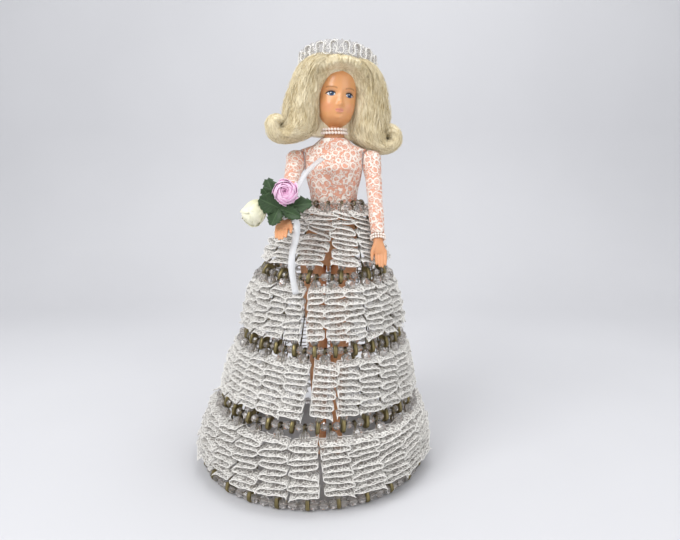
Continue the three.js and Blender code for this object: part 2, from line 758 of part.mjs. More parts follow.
// Head: hollow vinyl on the neck ball, tilted and turned a little. Heights from the pivot.
const skull = [
  { z: -2, y: 1.5, half: 7.6, front: 7, back: 8.5 },
  { z: 1.2, y: 0, half: 9.6, front: 12.2, back: 13 },
  { z: 3.8, half: 11.4, front: 15.6, back: 15.5 },
  { z: 8.5, half: 12.8, front: 15.8, back: 17 },
  { z: 14, half: 13.8, front: 15.6, back: 17.8 },
  { z: 19.5, half: 14.3, front: 15, back: 18.2 },
  { z: 26, half: 14.3, front: 15.9, back: 18 },
  { z: 32, half: 13.4, front: 15, back: 17 },
  { z: 37, half: 11, front: 12, back: 14 },
  { z: 40.5, half: 7, front: 7.6, back: 9 },
  { z: 42, half: 3, front: 3.2, back: 3.8 },
];

const hairCrown = [
  { z: 9, half: 26, front: 15, back: 21.5, power: 0.95 },
  { z: 18, half: 29.5, front: 18, back: 24, power: 0.95 },
  { z: 26, half: 31, front: 19.5, back: 25, power: 0.95 },
  { z: 30, half: 29, front: 20.2, back: 24.6 },
  { z: 32.5, half: 25, front: 20.2, back: 24 },
  { z: 36.5, half: 24, front: 20, back: 23 },
  { z: 40.5, half: 21, front: 19.2, back: 20.5 },
  { z: 43.5, half: 16, front: 16, back: 15.5 },
  { z: 45.5, half: 8.5, front: 8, back: 8 },
];

const headSides = 14;

function makeHead() {
  const tilted = new THREE.Group();
  tilted.position.set(dollX, 0, headHeight);
  tilted.rotation.y = radians(headRoll);
  const turned = new THREE.Group();
  turned.rotation.z = radians(headTurn);
  tilted.add(turned);
  bride.add(tilted);

  let head = toSolid(ovalLoft(skull, headSides));
  const nose = new THREE.ConeGeometry(2.5, 9, 6).rotateX(Math.PI / 2).scale(0.8, 1, 1);
  nose.translate(0, -15.6, 15.5);
  const lips = new THREE.SphereGeometry(1, 6, 4).scale(3.2, 1.4, 1.3).translate(0, -15.4, 7.6);
  head = head.add(toSolid(nose)).add(toSolid(lips));
  const socket = ball(neckBallRadius + jointGap, 0, 0, 0, 10, 7);
  const throat = new THREE.CylinderGeometry(neckBallRadius - 0.4, neckRadius - 1, 8, 10);
  throat.rotateX(Math.PI / 2).translate(0, 0, -4.5);
  head = head.subtract(socket).subtract(toSolid(throat));
  add('head', toGeometry(head), vinyl, turned);

  const hair = makeHair(turned);
  makeRuffle(turned, hair);
}

// Hair: a cap over the crown with a window for the face, two side masses that flip out at the
// shoulders, and the fall at the back.
function makeHair(parent) {
  const headClear = toSolid(ovalLoft(grown(skull, hairGap), headSides));
  const windowShape = new THREE.Shape();
  windowShape.moveTo(-10.5, -6);
  windowShape.lineTo(-12.4, 12);
  windowShape.lineTo(-12, 22);
  windowShape.lineTo(-7.5, 30);
  windowShape.lineTo(0, 33.5);
  windowShape.lineTo(7.5, 30);
  windowShape.lineTo(12, 22);
  windowShape.lineTo(12.4, 12);
  windowShape.lineTo(10.5, -6);
  windowShape.closePath();
  const window = new THREE.ExtrudeGeometry(windowShape, { depth: 40, bevelEnabled: false });
  window.rotateX(Math.PI / 2);
  const faceWindow = toSolid(window);
  const crownBody = toSolid(ovalLoft(hairCrown, headSides));
  const crown = crownBody.subtract(headClear).subtract(faceWindow);
  add('hair_crown', toGeometry(crown), blonde, parent);

  const crownClear = toSolid(ovalLoft(grown(hairCrown, hairGap), headSides));
  const neckClear = new THREE.CylinderGeometry(12.5, 12.5, 30, 12).rotateX(Math.PI / 2);
  const clear = crownClear.add(headClear).add(toSolid(neckClear));
  for (const [name, side] of [['hair_left', 1], ['hair_right', -1]]) {
    const part = (z, inner, outer, front, back) => ({
      z, x: side * (inner + outer) / 2, half: (outer - inner) / 2, front, back, power: 0.85,
    });
    const fall = ovalLoft([
      part(-16, 36.5, 43, 4, 7),
      part(-13, 35.5, 45.5, 6, 9),
      part(-10.5, 21, 46.5, 8, 11),
      part(-7, 13.5, 47.5, 9, 12.5),
      part(-2, 12.5, 48.5, 9.5, 13),
      part(3, 12.5, 46, 10, 13),
      part(8, 13.5, 37, 10, 13.5),
      part(17, 14, 33.5, 10, 14),
      part(26, 14, 31, 9, 12),
    ], 12);
    add(name, toGeometry(toSolid(fall).subtract(clear)), blonde, parent);
  }
  const back = ovalLoft([
    { z: -9.5, y: 20.5, half: 18, front: 3.5, back: 5, power: 0.8 },
    { z: -6, y: 20.5, half: 22, front: 5, back: 7.5, power: 0.8 },
    { z: 4, y: 20.5, half: 26, front: 5.4, back: 7, power: 0.8 },
    { z: 16, y: 20.5, half: 26, front: 5.4, back: 5, power: 0.8 },
  ], 12);
  add('hair_back', toGeometry(toSolid(back).subtract(clear)), blonde, parent);
}

// Headpiece: a band round the hair, high in front, and a pleated net ruffle that stands on it.
function makeRuffle(parent) {
  const slope = Math.tan(radians(ruffleTilt));
  const rise = at(0, Math.sin(radians(ruffleTilt)), Math.cos(radians(ruffleTilt)));
  const surface = (angle, up) => {
    let height = ruffleRise;
    for (let step = 0; step < 4; step += 1) {
      height = ruffleRise - slope * ovalPoint(sectionAt(hairCrown, height), angle).y;
    }
    return ovalPoint(sectionAt(hairCrown, height + up), angle);
  };
  const outward = (p, offset) => p.addScaledVector(at(p.x, p.y, 0).normalize(), offset);
  const band = [];
  const bandSteps = 24;
  for (let i = 0; i < bandSteps; i += 1) {
    const angle = 2 * Math.PI * i / bandSteps;
    const near = hairGap + 0.4;
    const edge = (up, offset) => outward(surface(angle, up * bandHeight / 2), offset);
    band.push([edge(-1, near), edge(-1, near + bandThickness), edge(1, near + bandThickness), edge(1, near)]);
  }
  add('headpiece_band', skin(band, true), satin, parent);
  const ruffle = [];
  for (let i = 0; i < 2 * rufflePleats; i += 1) {
    const angle = 2 * Math.PI * i / (2 * rufflePleats);
    const wave = i % 2 === 0 ? 0 : ruffleWave;
    const edge = (offset, up) => outward(surface(angle, bandHeight / 2), offset).addScaledVector(rise, up);
    const near = hairGap + 0.2 + wave * 0.6;
    const far = hairGap + wave + ruffleFlare;
    ruffle.push([
      edge(near, fitGap), edge(near + ruffleThickness, fitGap),
      edge(far + ruffleThickness, ruffleHeight), edge(far, ruffleHeight),
    ]);
  }
  add('headpiece_ruffle', skin(ruffle, true), lace, parent);
}

// Necklace: two strands of small pearls round the neck post.
function makeNecklace() {
  const reach = neckRadius + 0.4 + fitGap + neckPearlRadius;
  const lowest = neckBaseHeight + necklaceRise;
  const pitch = 2 * neckPearlRadius + fitGap;
  add('necklace_lower', pearlRing(reach, dollX, lowest, neckPearlCount, neckPearlRadius), pearl);
  add('necklace_upper', pearlRing(reach, dollX, lowest + pitch, neckPearlCount, neckPearlRadius), pearl);
}

// A flat strip through a list of points, each with the direction of its width.
function strip(points, across, width, thickness) {
  return skin(points.map((p, i) => {
    const before = points[Math.max(i - 1, 0)];
    const after = points[Math.min(i + 1, points.length - 1)];
    const along = after.clone().sub(before).normalize();
    const side = across[i].clone().addScaledVector(along, -across[i].dot(along)).normalize();
    const face = new THREE.Vector3().crossVectors(along, side);
    const corner = (a, b) => p.clone()
      .addScaledVector(side, a * width / 2)
      .addScaledVector(face, b * thickness / 2);
    return [corner(1, 1), corner(-1, 1), corner(-1, -1), corner(1, -1)];
  }));
}

// A cloth rose: five soft lobes round an axis.
function rose(radius, centre, axis) {
  const helper = at(1, 0, 0);
  const u = new THREE.Vector3().crossVectors(helper, axis).normalize();
  const w = new THREE.Vector3().crossVectors(axis, u);
  const rows = [[-0.95, 0.4], [-0.6, 0.82], [-0.05, 1], [0.45, 0.9], [0.8, 0.6], [0.62, 0.25]];
  return skin(rows.map(([height, size], row) => {
    const loop = [];
    for (let i = 0; i < 10; i += 1) {
      const angle = 2 * Math.PI * i / 10;
      const lobe = 0.93 + 0.07 * Math.cos(5 * angle + row);
      loop.push(centre.clone()
        .addScaledVector(axis, radius * height)
        .addScaledVector(u, radius * size * lobe * Math.cos(angle))
        .addScaledVector(w, radius * size * lobe * Math.sin(angle)));
    }
    return loop;
  }));
}

// A leaf from its root to its tip, lying flat against what is beside it.
function leaf(root, tip, beside, width) {
  const along = tip.clone().sub(root);
  const across = new THREE.Vector3().crossVectors(along, beside.clone().sub(root)).normalize();
  const face = new THREE.Vector3().crossVectors(across, along).normalize();
  const rows = [[0, 0.15], [0.25, 0.8], [0.5, 1], [0.8, 0.6], [1, 0.08]];
  return skin(rows.map(([share, size]) => {
    const middle = root.clone().addScaledVector(along, share);
    const half = width / 2 * size;
    return [
      middle.clone().addScaledVector(across, half), middle.clone().addScaledVector(face, leafThickness),
      middle.clone().addScaledVector(across, -half), middle.clone().addScaledVector(face, -leafThickness / 2),
    ];
  }));
}

// Bouquet: two cloth roses on a leaf spray, tied to the right wrist with a satin ribbon.
// Its places are measured from the wrist, with the arm hanging straight.
function makeBouquet(shoulder) {
  const wrist = at(handX(-1, -wristDrop), 0, -wristDrop);
  const fromWrist = (x, y, z) => at(x, y, z).add(wrist);
  const faceOut = at(0, -Math.cos(radians(rightArmAngle)), -Math.sin(radians(rightArmAngle)));
  const pinkCentre = fromWrist(1.3, -18.8, 3.1);
  const creamCentre = fromWrist(-18.4, -7.4, -3.2);
  const creamAxis = at(-0.75, 0, 0).addScaledVector(faceOut, 0.66).normalize();
  add('rose_pink', rose(pinkRoseRadius, pinkCentre, faceOut), pinkPetal, shoulder);
  add('rose_cream', rose(creamRoseRadius, creamCentre, creamAxis), creamPetal, shoulder);

  const knotCentre = fromWrist(3.2, -wristRadius - 1.2, -1.4);
  const knotBody = (by) => toSolid(new THREE.SphereGeometry(1, 8, 4)
    .scale(3.3 + by, 2 + by, 2 + by)
    .translate(knotCentre.x, knotCentre.y, knotCentre.z));
  const palm = palmOutline(-1);
  const wrap = (by, low, high) => toSolid(ovalLoft(between(grown(palm, by), low, high), 12));
  const low = -wristDrop - 2.6;
  const high = -wristDrop - 0.1;
  const tie = wrap(fitGap + 0.8, low, high).subtract(wrap(fitGap, low - 1, high + 0.5));
  const clearHand = wrap(fitGap, low - 1, high + 0.5);
  add('ribbon_tie', toGeometry(tie.add(knotBody(0)).subtract(clearHand)), satin, shoulder);

  const fork = fromWrist(-3, -9.5, -0.5);
  const tips = [
    [fromWrist(-12.7, -20.7, 13), pinkCentre, 8.5],
    [fromWrist(16.7, -13.1, -1.4), pinkCentre, 9],
    [fromWrist(-6.4, -5.2, -11), creamCentre, 6.5],
    [fromWrist(-12.5, -19, -4), creamCentre, 7.5],
  ];
  let spray = toSolid(bar([knotCentre, fork], stemRadius, 5));
  for (const [centre, radius, axis] of [
    [pinkCentre, pinkRoseRadius, faceOut], [creamCentre, creamRoseRadius, creamAxis],
  ]) {
    const stem = toSolid(bar([fork, centre], stemRadius, 5));
    spray = spray.add(stem.subtract(toSolid(rose(radius + fitGap, centre, axis))));
  }
  for (const [tip, beside, width] of tips) spray = spray.add(toSolid(leaf(fork, tip, beside, width)));
  add('leaf_spray', toGeometry(spray.subtract(knotBody(fitGap))), leafGreen, shoulder);

  const upper = [
    knotCentre.clone().add(at(0.2, -0.4, 1)), fromWrist(4.6, -7.8, 7), fromWrist(8.4, -13.4, 16),
    fromWrist(14, -15.6, 29), fromWrist(23.3, -13.9, 45),
  ];
  const upperAcross = upper.map(() => at(0.85, 0.1, -0.5));
  const upperTail = toSolid(strip(upper, upperAcross, upperRibbonWidth, ribbonThickness));
  add('ribbon_tail_upper', toGeometry(upperTail.subtract(knotBody(fitGap))), satin, shoulder);

  const hanging = new THREE.Group();
  hanging.position.copy(knotCentre).add(at(2.2, -1.9, -2.2));
  hanging.rotation.x = radians(rightArmAngle);
  shoulder.add(hanging);
  const fall = [
    [0, 0, 0], [2.8, -0.6, 0.12], [1.8, -1.2, 0.28],
    [-0.6, -1.8, 0.5], [-0.8, -2.1, 0.72], [1.5, -2.2, 1],
  ];
  const points = fall.map(([x, y, share]) => at(x, y, -share * ribbonLength));
  const across = points.map(() => at(1, 0.15, 0));
  add('ribbon_tail', strip(points, across, ribbonWidth, ribbonThickness), satin, hanging);
}

// The left arm hangs forward just far enough for the hand and the cuff to pass in front of the
// first tier.
function leftArmAngle() {
  const angleToPass = (drop, thickness, share) => {
    const skirtX = rings[0].x + (rings[1].x - rings[0].x) * share;
    const skirtRadius = rings[0].rx + (rings[1].rx - rings[0].rx) * share + tiers[0].out;
    const aside = armX(1) + armDrift * drop / armLength - skirtX;
    const forward = Math.sqrt(Math.max((skirtRadius + thickness) ** 2 - aside ** 2, 0));
    return Math.asin(Math.min(forward / drop, 1));
  };
  const handAngle = angleToPass(armLength, palmHalfThickness + handClearance, 1);
  const cuffDrop = sleeveEnd + fitGap + 3 * cuffPearlRadius;
  const cuffThickness = wristRadius + fitGap + 2 * cuffPearlRadius;
  const cuffHeight = shoulderHeight - cuffDrop * Math.cos(handAngle);
  const cuffShare = Math.min(Math.max((waistHeight - cuffHeight) / tierDrop, 0), 1);
  const cuffAngle = angleToPass(cuffDrop, cuffThickness, cuffShare);
  return THREE.MathUtils.radToDeg(Math.max(handAngle, cuffAngle));
}

makeBody();
makeNeck();
makeHipRod();
makeLeg('leg_left', 1);
makeLeg('leg_right', -1);
makeBodice();
makeNecklace();
makeArm(1, 'left', leftArmAngle());
makeBouquet(makeArm(-1, 'right', rightArmAngle));
makeHead();
makeBeads(0, 'waist_bead_ring');
makeBeads(1, 'first_bead_ring');
makeBeads(2, 'second_bead_ring');
makeBeads(3, 'third_bead_ring');
makeBeads(4, 'hem_bead_ring');
for (let tier = 0; tier < tiers.length; tier += 1) {
  makePins(tier);
  makeLace(tier);
}

export default bride;
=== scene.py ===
import random
from math import atan2, copysign, cos, exp, hypot, pi, radians, sin, sqrt, tan, tau
from typing import NamedTuple

import bmesh
import bpy
from mathutils import Matrix, Vector


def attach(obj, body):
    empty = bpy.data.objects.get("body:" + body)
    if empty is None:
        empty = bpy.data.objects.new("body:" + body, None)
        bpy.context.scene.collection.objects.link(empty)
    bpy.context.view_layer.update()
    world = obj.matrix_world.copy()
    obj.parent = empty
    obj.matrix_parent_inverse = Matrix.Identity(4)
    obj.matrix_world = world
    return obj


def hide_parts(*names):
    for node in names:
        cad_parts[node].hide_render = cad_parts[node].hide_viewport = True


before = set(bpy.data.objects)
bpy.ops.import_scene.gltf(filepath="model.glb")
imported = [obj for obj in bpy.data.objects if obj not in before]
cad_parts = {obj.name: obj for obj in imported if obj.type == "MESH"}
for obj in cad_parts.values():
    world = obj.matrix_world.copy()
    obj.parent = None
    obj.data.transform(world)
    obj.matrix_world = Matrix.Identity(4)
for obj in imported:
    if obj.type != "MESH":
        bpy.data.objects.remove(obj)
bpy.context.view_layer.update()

scene = bpy.context.scene
scene.view_settings.view_transform = "Standard"
MM = 0.001


# Camera
# It stands in front of the doll and a little above its shoulders, and looks ten degrees down.
def linked(name, data):
    """A new object in the scene."""
    obj = bpy.data.objects.new(name, data)
    scene.collection.objects.link(obj)
    return obj


camera_data = bpy.data.cameras.new("camera")
camera_data.sensor_width = 36
camera_data.lens = 28.64
camera_data.clip_start = 0.01
scene.camera = linked("camera", camera_data)
scene.camera.location = (0.0195, -0.394, 0.211)
scene.camera.rotation_euler = (radians(80), 0, 0)


# Table and backdrop
# One sheet of pale grey board, flat under the doll and curved up behind it.
class Value:
    """A number in a material, with the maths that Python writes on it."""

    def __init__(self, finish, socket):
        self.finish = finish
        self.socket = socket

    def __add__(self, other):
        return self.finish.math("ADD", self, other)

    def __sub__(self, other):
        return self.finish.math("SUBTRACT", self, other)

    def __rsub__(self, other):
        return self.finish.math("SUBTRACT", other, self)

    def __mul__(self, other):
        return self.finish.math("MULTIPLY", self, other)

    def __truediv__(self, other):
        return self.finish.math("DIVIDE", self, other)

    def __pow__(self, other):
        return self.finish.math("POWER", self, other)

    __radd__ = __add__

    def absolute(self):
        return self.finish.math("ABSOLUTE", self)

    def most(self, other):
        return self.finish.math("MAXIMUM", self, other)

    def least(self, other):
        return self.finish.math("MINIMUM", self, other)

    def rise(self, low, high):
        """0 below low and 1 above high, with a soft step between; the other way round if low > high."""
        settings = {"interpolation_type": "SMOOTHSTEP"}
        limits = {"Value": self, "From Min": low, "From Max": high}
        return Value(self.finish, self.finish.node("ShaderNodeMapRange", settings, limits).outputs["Result"])


class Finish:
    """A material: one Principled shader and the nodes in front of it."""

    def __init__(self, name, **sockets):
        self.material = bpy.data.materials.new(name)
        self.material.use_nodes = True
        self.tree = self.material.node_tree
        for socket, value in sockets.items():
            self.set(socket.replace("_", " "), value)

    def plug(self, socket, value):
        if isinstance(value, Value):
            value = value.socket
        if isinstance(value, bpy.types.NodeSocket):
            self.tree.links.new(value, socket)
        elif socket.type == "RGBA":
            socket.default_value = (*value[:3], 1.0)
        else:
            socket.default_value = value

    def node(self, kind, settings=None, values=None):
        node = self.tree.nodes.new(kind)
        for key, value in (settings or {}).items():
            setattr(node, key, value)
        for key, value in (values or {}).items():
            self.plug(node.inputs[key], value)
        return node

    def set(self, socket, value):
        self.plug(self.tree.nodes["Principled BSDF"].inputs[socket], value)

    def math(self, operation, *values):
        node = self.node("ShaderNodeMath", {"operation": operation}, dict(enumerate(values)))
        return Value(self, node.outputs[0])

    def blend(self, factor, low, high):
        """The colour low where factor is 0 and high where it is 1."""
        return self.node("ShaderNodeMix", {"data_type": "RGBA"}, {0: factor, 6: low, 7: high}).outputs[2]

    def tones(self, factor, low, high):
        """The whole piece is coloured low where factor is 0 and high where it is 1."""
        self.set("Base Color", self.blend(factor, low, high))

    def place(self):
        return self.node("ShaderNodeTexCoord").outputs["Object"]

    def uv(self):
        return self.node("ShaderNodeTexCoord").outputs["UV"]

    def axes(self, vector):
        node = self.node("ShaderNodeSeparateXYZ", None, {0: vector})
        return [Value(self, node.outputs[i]) for i in range(3)]

    def stretched(self, vector, scale):
        return self.node("ShaderNodeMapping", None, {"Vector": vector, "Scale": scale}).outputs["Vector"]

    def noise(self, vector, scale, detail=2.0):
        node = self.node("ShaderNodeTexNoise", None, {"Vector": vector, "Scale": scale, "Detail": detail})
        return Value(self, node.outputs[0])

    def cells(self, vector, scale, feature="F1"):
        """How far a point is from the middle, or the edge, of its cell."""
        node = self.node("ShaderNodeTexVoronoi", {"feature": feature}, {"Vector": vector, "Scale": scale})
        return Value(self, node.outputs["Distance"])

    def bump(self, height, distance, strength=1.0):
        values = {"Height": height, "Distance": distance, "Strength": strength}
        self.set("Normal", self.node("ShaderNodeBump", None, values).outputs["Normal"])


def meshed(name, bm):
    """The mesh of a bmesh that has been worked to its end."""
    data = bpy.data.meshes.new(name)
    bm.to_mesh(data)
    bm.free()
    return data


board = Finish("board", Roughness=0.85)
board.tones(board.noise(board.place(), 3.0, 3.0), (0.58, 0.58, 0.60), (0.66, 0.66, 0.68))
BEND_START, BEND_RADIUS, BEND_STEPS = 0.42, 0.3, 8
bm = bmesh.new()
corners = bmesh.ops.create_grid(bm, x_segments=1, y_segments=1, size=1.6)["verts"]
row = [e for e in bm.edges if all(v.co.y > 0 for v in e.verts)]
for v in corners:
    v.co.y = min(v.co.y, BEND_START)
for step in range(1, BEND_STEPS + 1):
    angle = radians(90 * step / BEND_STEPS)
    extruded = bmesh.ops.extrude_edge_only(bm, edges=row)["geom"]
    row = [g for g in extruded if isinstance(g, bmesh.types.BMEdge)]
    for v in {v for e in row for v in e.verts}:
        v.co.y = BEND_START + BEND_RADIUS * sin(angle)
        v.co.z = BEND_RADIUS - BEND_RADIUS * cos(angle)
extruded = bmesh.ops.extrude_edge_only(bm, edges=row)["geom"]
for v in [g for g in extruded if isinstance(g, bmesh.types.BMVert)]:
    v.co.z = 1.8
bmesh.ops.recalc_face_normals(bm, faces=bm.faces)
backdrop = linked("backdrop", meshed("backdrop", bm))
backdrop.data.shade_smooth()
backdrop.data.materials.append(board.material)


# Light
# Soft light from the upper left and the front, and a dim room all round. Two small lamps give
# the beads their sparkle.
world = bpy.data.worlds.new("room")
world.use_nodes = True
world.node_tree.nodes["Background"].inputs["Color"].default_value = (0.95, 0.97, 1.0, 1.0)
world.node_tree.nodes["Background"].inputs["Strength"].default_value = 0.62
scene.world = world
for name, place, size, power in [
    ("window", (-0.55, -0.55, 0.75), 0.55, 6.0),
    ("ceiling", (0.25, 0.05, 1.0), 0.9, 5.0),
    ("fill", (0.7, -0.7, 0.35), 0.6, 1.6),
    ("spark_left", (-0.35, -0.6, 0.6), 0.02, 0.14),
    ("spark_right", (0.4, -0.55, 0.5), 0.02, 0.12),
]:
    lamp_data = bpy.data.lights.new(name, "AREA")
    lamp_data.size = size
    lamp_data.energy = power
    lamp = linked(name, lamp_data)
    lamp.location = place
    lamp.rotation_euler = (Vector((0, 0, 0.15)) - Vector(place)).to_track_quat("-Z", "Y").to_euler()


# Body, neck and hip rod
# Two half shells of tan vinyl with the neck post between them, and the rod that joins the legs.
# They keep the shapes of the frame, since clothes cover them; only the neck is turned smooth.
class Section(NamedTuple):
    """One level of a loft, in mm. It may be deeper in front than behind, and a low power squares it."""

    z: float
    half: float
    front: float
    back: float
    x: float = 0
    y: float = 0
    power: float = 1

    def depth(self, y):
        return self.front if y < 0 else self.back


def section_at(sections, z):
    """The section of a loft at any height, between the two that it lies between."""
    for low, high in zip(sections, sections[1:]):
        if z <= high.z or high is sections[-1]:
            share = (z - low.z) / (high.z - low.z)
            return Section(*(a + (b - a) * share for a, b in zip(low, high)))


def grown(sections, by):
    """The same sections, larger all round."""
    return [s._replace(half=s.half + by, front=s.front + by, back=s.back + by) for s in sections]


def disc(x, z, radius):
    """A round section."""
    return Section(z, radius, radius, radius, x)


def ring(bm, sides, place):
    """A ring of edges: place says where each point of a circle of radius 1 goes."""
    verts = bmesh.ops.create_circle(bm, segments=sides, radius=1.0)["verts"]
    for v in verts:
        v.co = place(v.co.x, v.co.y)
    return list({e for v in verts for e in v.link_edges})


def skin(bm, rings, capped=True):
    """Faces from each ring to the next, and over both ends."""
    for low, high in zip(rings, rings[1:]):
        bmesh.ops.bridge_loops(bm, edges=low + high)
    for end in (rings[0], rings[-1]) if capped else ():
        bmesh.ops.edgeloop_fill(bm, edges=end)


def loft(bm, sections, sides, capped=True):
    """A skin through the sections, from the first to the last."""
    rings = []
    for section in sections:

        def place(a, b):
            x = section.half * copysign(abs(a) ** section.power, a)
            y = section.depth(b) * copysign(abs(b) ** section.power, b)
            return section.x + x, section.y + y, section.z

        rings.append(ring(bm, sides, place))
    skin(bm, rings, capped)
    bmesh.ops.recalc_face_normals(bm, faces=bm.faces)


def mount(name, data, finish, body, nodes=()):
    """An object that rides on a body and stands for the CAD nodes."""
    data.materials.append(finish.material)
    obj = linked(name, data)
    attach(obj, body)
    if nodes:
        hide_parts(*nodes)
    return obj


def piece(name, bm, finish, body, nodes=(), at=Matrix(), rounded=False, smooth=True):
    """A finished piece from a mesh in mm, which is moved to its place on the doll."""
    bmesh.ops.transform(bm, matrix=at, verts=bm.verts)
    bmesh.ops.scale(bm, vec=(MM, MM, MM), verts=bm.verts)
    data = meshed(name, bm)
    if smooth:
        data.shade_smooth()
    obj = mount(name, data, finish, body, nodes)
    if rounded:
        rounding = obj.modifiers.new("rounding", "SUBSURF")
        rounding.levels = rounding.render_levels = 1
    return obj


SOFT = {
    "Subsurface_Weight": 0.12,
    "Subsurface_Radius": (0.004, 0.0016, 0.0008),
    "Subsurface_Scale": 0.4,
}
vinyl = Finish("vinyl", Roughness=0.42, **SOFT)
skin_place = vinyl.place()
vinyl.tones(vinyl.noise(skin_place, 90.0, 3.0), (0.61, 0.265, 0.12), (0.74, 0.37, 0.18))
vinyl.bump(vinyl.noise(skin_place, 1800.0, 1.0), 0.00002, 0.4)
steel = Finish("rod steel", Base_Color=(0.55, 0.54, 0.52), Metallic=1.0)
steel.set("Roughness", steel.noise(steel.place(), 900.0) * 0.3 + 0.25)
for node, finish in (("torso_front", vinyl), ("torso_back", vinyl), ("hip_rod", steel)):
    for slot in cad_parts[node].material_slots:
        slot.material = finish.material

DOLL_X = 15
NECK_BASE = 235.5
NECK = [
    (-1.5, 4), (0.2, 4), (0.3, 8.0), (1.4, 7.7), (3.4, 7.4), (5.6, 7.2), (7.2, 5.4), (13, 5.0), (15.5, 3.0),
]
bm = bmesh.new()
loft(bm, [disc(DOLL_X, NECK_BASE + up, radius) for up, radius in NECK], 24)
piece("neck", bm, vinyl, "torso", ["neck_post"], rounded=True)


# Legs
# Tan vinyl legs on tiptoe, hung on the hip rod. They show through the slits in the skirt. Each
# row of the table is a height, x from the pelvis, half the width, both depths, and y.
PELVIS_X = 11
LEG = [
    (0.2, 6.4, 2.2, 3.2, 2.8, -12.2), (1.2, 6.4, 3.1, 4.4, 4.0, -12), (3.2, 6.3, 3.9, 6.1, 5.9, -9.4),
    (6, 6.2, 4.0, 6.1, 5.8, -7.2), (9, 6.2, 4.0, 5.9, 5.5, -5.1), (16, 6.2, 4.0, 4.3, 5.3, -0.6),
    (26, 6.6, 4.4, 4.5, 4.9, 0), (40, 7.2, 5.8, 5.6, 6.6, 0.4), (55, 7.8, 7.0, 6.7, 7.7, 0.8),
    (66, 7.8, 6.9, 7.0, 7.2, 0.5), (76, 7.7, 6.8, 7.3, 6.9, 0), (88, 8.3, 7.5, 7.8, 7.6, 0),
    (102, 9, 8.3, 8.5, 8.5, 0), (120, 10.2, 9.1, 9.3, 9.3, 0), (132, 10.9, 9.4, 9.6, 9.6, 0),
    (140, 11.2, 9.5, 9.5, 9.5, 0), (144, 11.2, 10.1, 10.1, 10.1, 0), (149.1, 11.2, 8.7, 8.7, 8.7, 0),
    (152.8, 11.2, 5.0, 5.0, 5.0, 0),
]
TOE_HEIGHT = 2
SIDES = {"left": 1, "right": -1}
for name, side in SIDES.items():
    bm = bmesh.new()
    loft(bm, [Section(z + TOE_HEIGHT, *size, PELVIS_X + side * x, y) for z, x, *size, y in LEG], 20)
    piece(f"leg_{name}_vinyl", bm, vinyl, f"{name}_leg", [f"leg_{name}"], rounded=True)


# Arms and hands
# Straight vinyl arms that end in flat hands with four fingers and a thumb. The hands are moulded
# in one with the arms, and only they show below the sleeves.
SHOULDER_HEIGHT = 221.5
SHOULDER_SPACING = 27.4
ARM_BALL = 5.4
ARM_LENGTH = 82
WRIST_DROP = 62
ARM_DRIFT = 4
ARM_ANGLES = {"left": 27.92, "right": 52.0}
ARM = [
    (-WRIST_DROP, 3.3), (-WRIST_DROP + 8, 3.55), (-46, 4.2), (-33, 4.1), (-18, 4.6), (-6, 5.0),
    (0, ARM_BALL), (ARM_BALL * 0.55, ARM_BALL * 0.84), (ARM_BALL * 0.9, ARM_BALL * 0.44),
]


def arm_matrix(name):
    """From the arm's own place, hanging straight from its shoulder, to where it is on the doll."""
    shoulder = Matrix.Translation((DOLL_X + SIDES[name] * SHOULDER_SPACING, 0, SHOULDER_HEIGHT))
    return shoulder @ Matrix.Rotation(radians(-ARM_ANGLES[name]), 4, "X")


def arm_x(side, z):
    """The middle of an arm, which leads outwards a little below the shoulder."""
    return side * ARM_DRIFT * max(-z, 0) / ARM_LENGTH


def arm_sections(side):
    return [disc(arm_x(side, z), z, radius) for z, radius in ARM]


def limb(bm, start, end, root_radius, tip_radius):
    """A round bar between two points, with its ends rounded over."""
    start, end = Vector(start), Vector(end)
    length = (end - start).length
    steps = [(-0.9, 0.45), (-0.5, 0.85), (0.0, 1.0)]
    levels = [(root_radius * z, root_radius * r) for z, r in steps]
    levels += [(length * 0.5, (root_radius + tip_radius) * 0.52)]
    levels += [(length - tip_radius * z, tip_radius * r) for z, r in steps[::-1]]
    turn = (end - start).to_track_quat("Z", "Y").to_matrix().to_4x4()
    place = Matrix.Translation(start) @ turn
    skin(bm, [ring(bm, 10, lambda a, b: place @ Vector((r * a, r * b, z))) for z, r in levels])


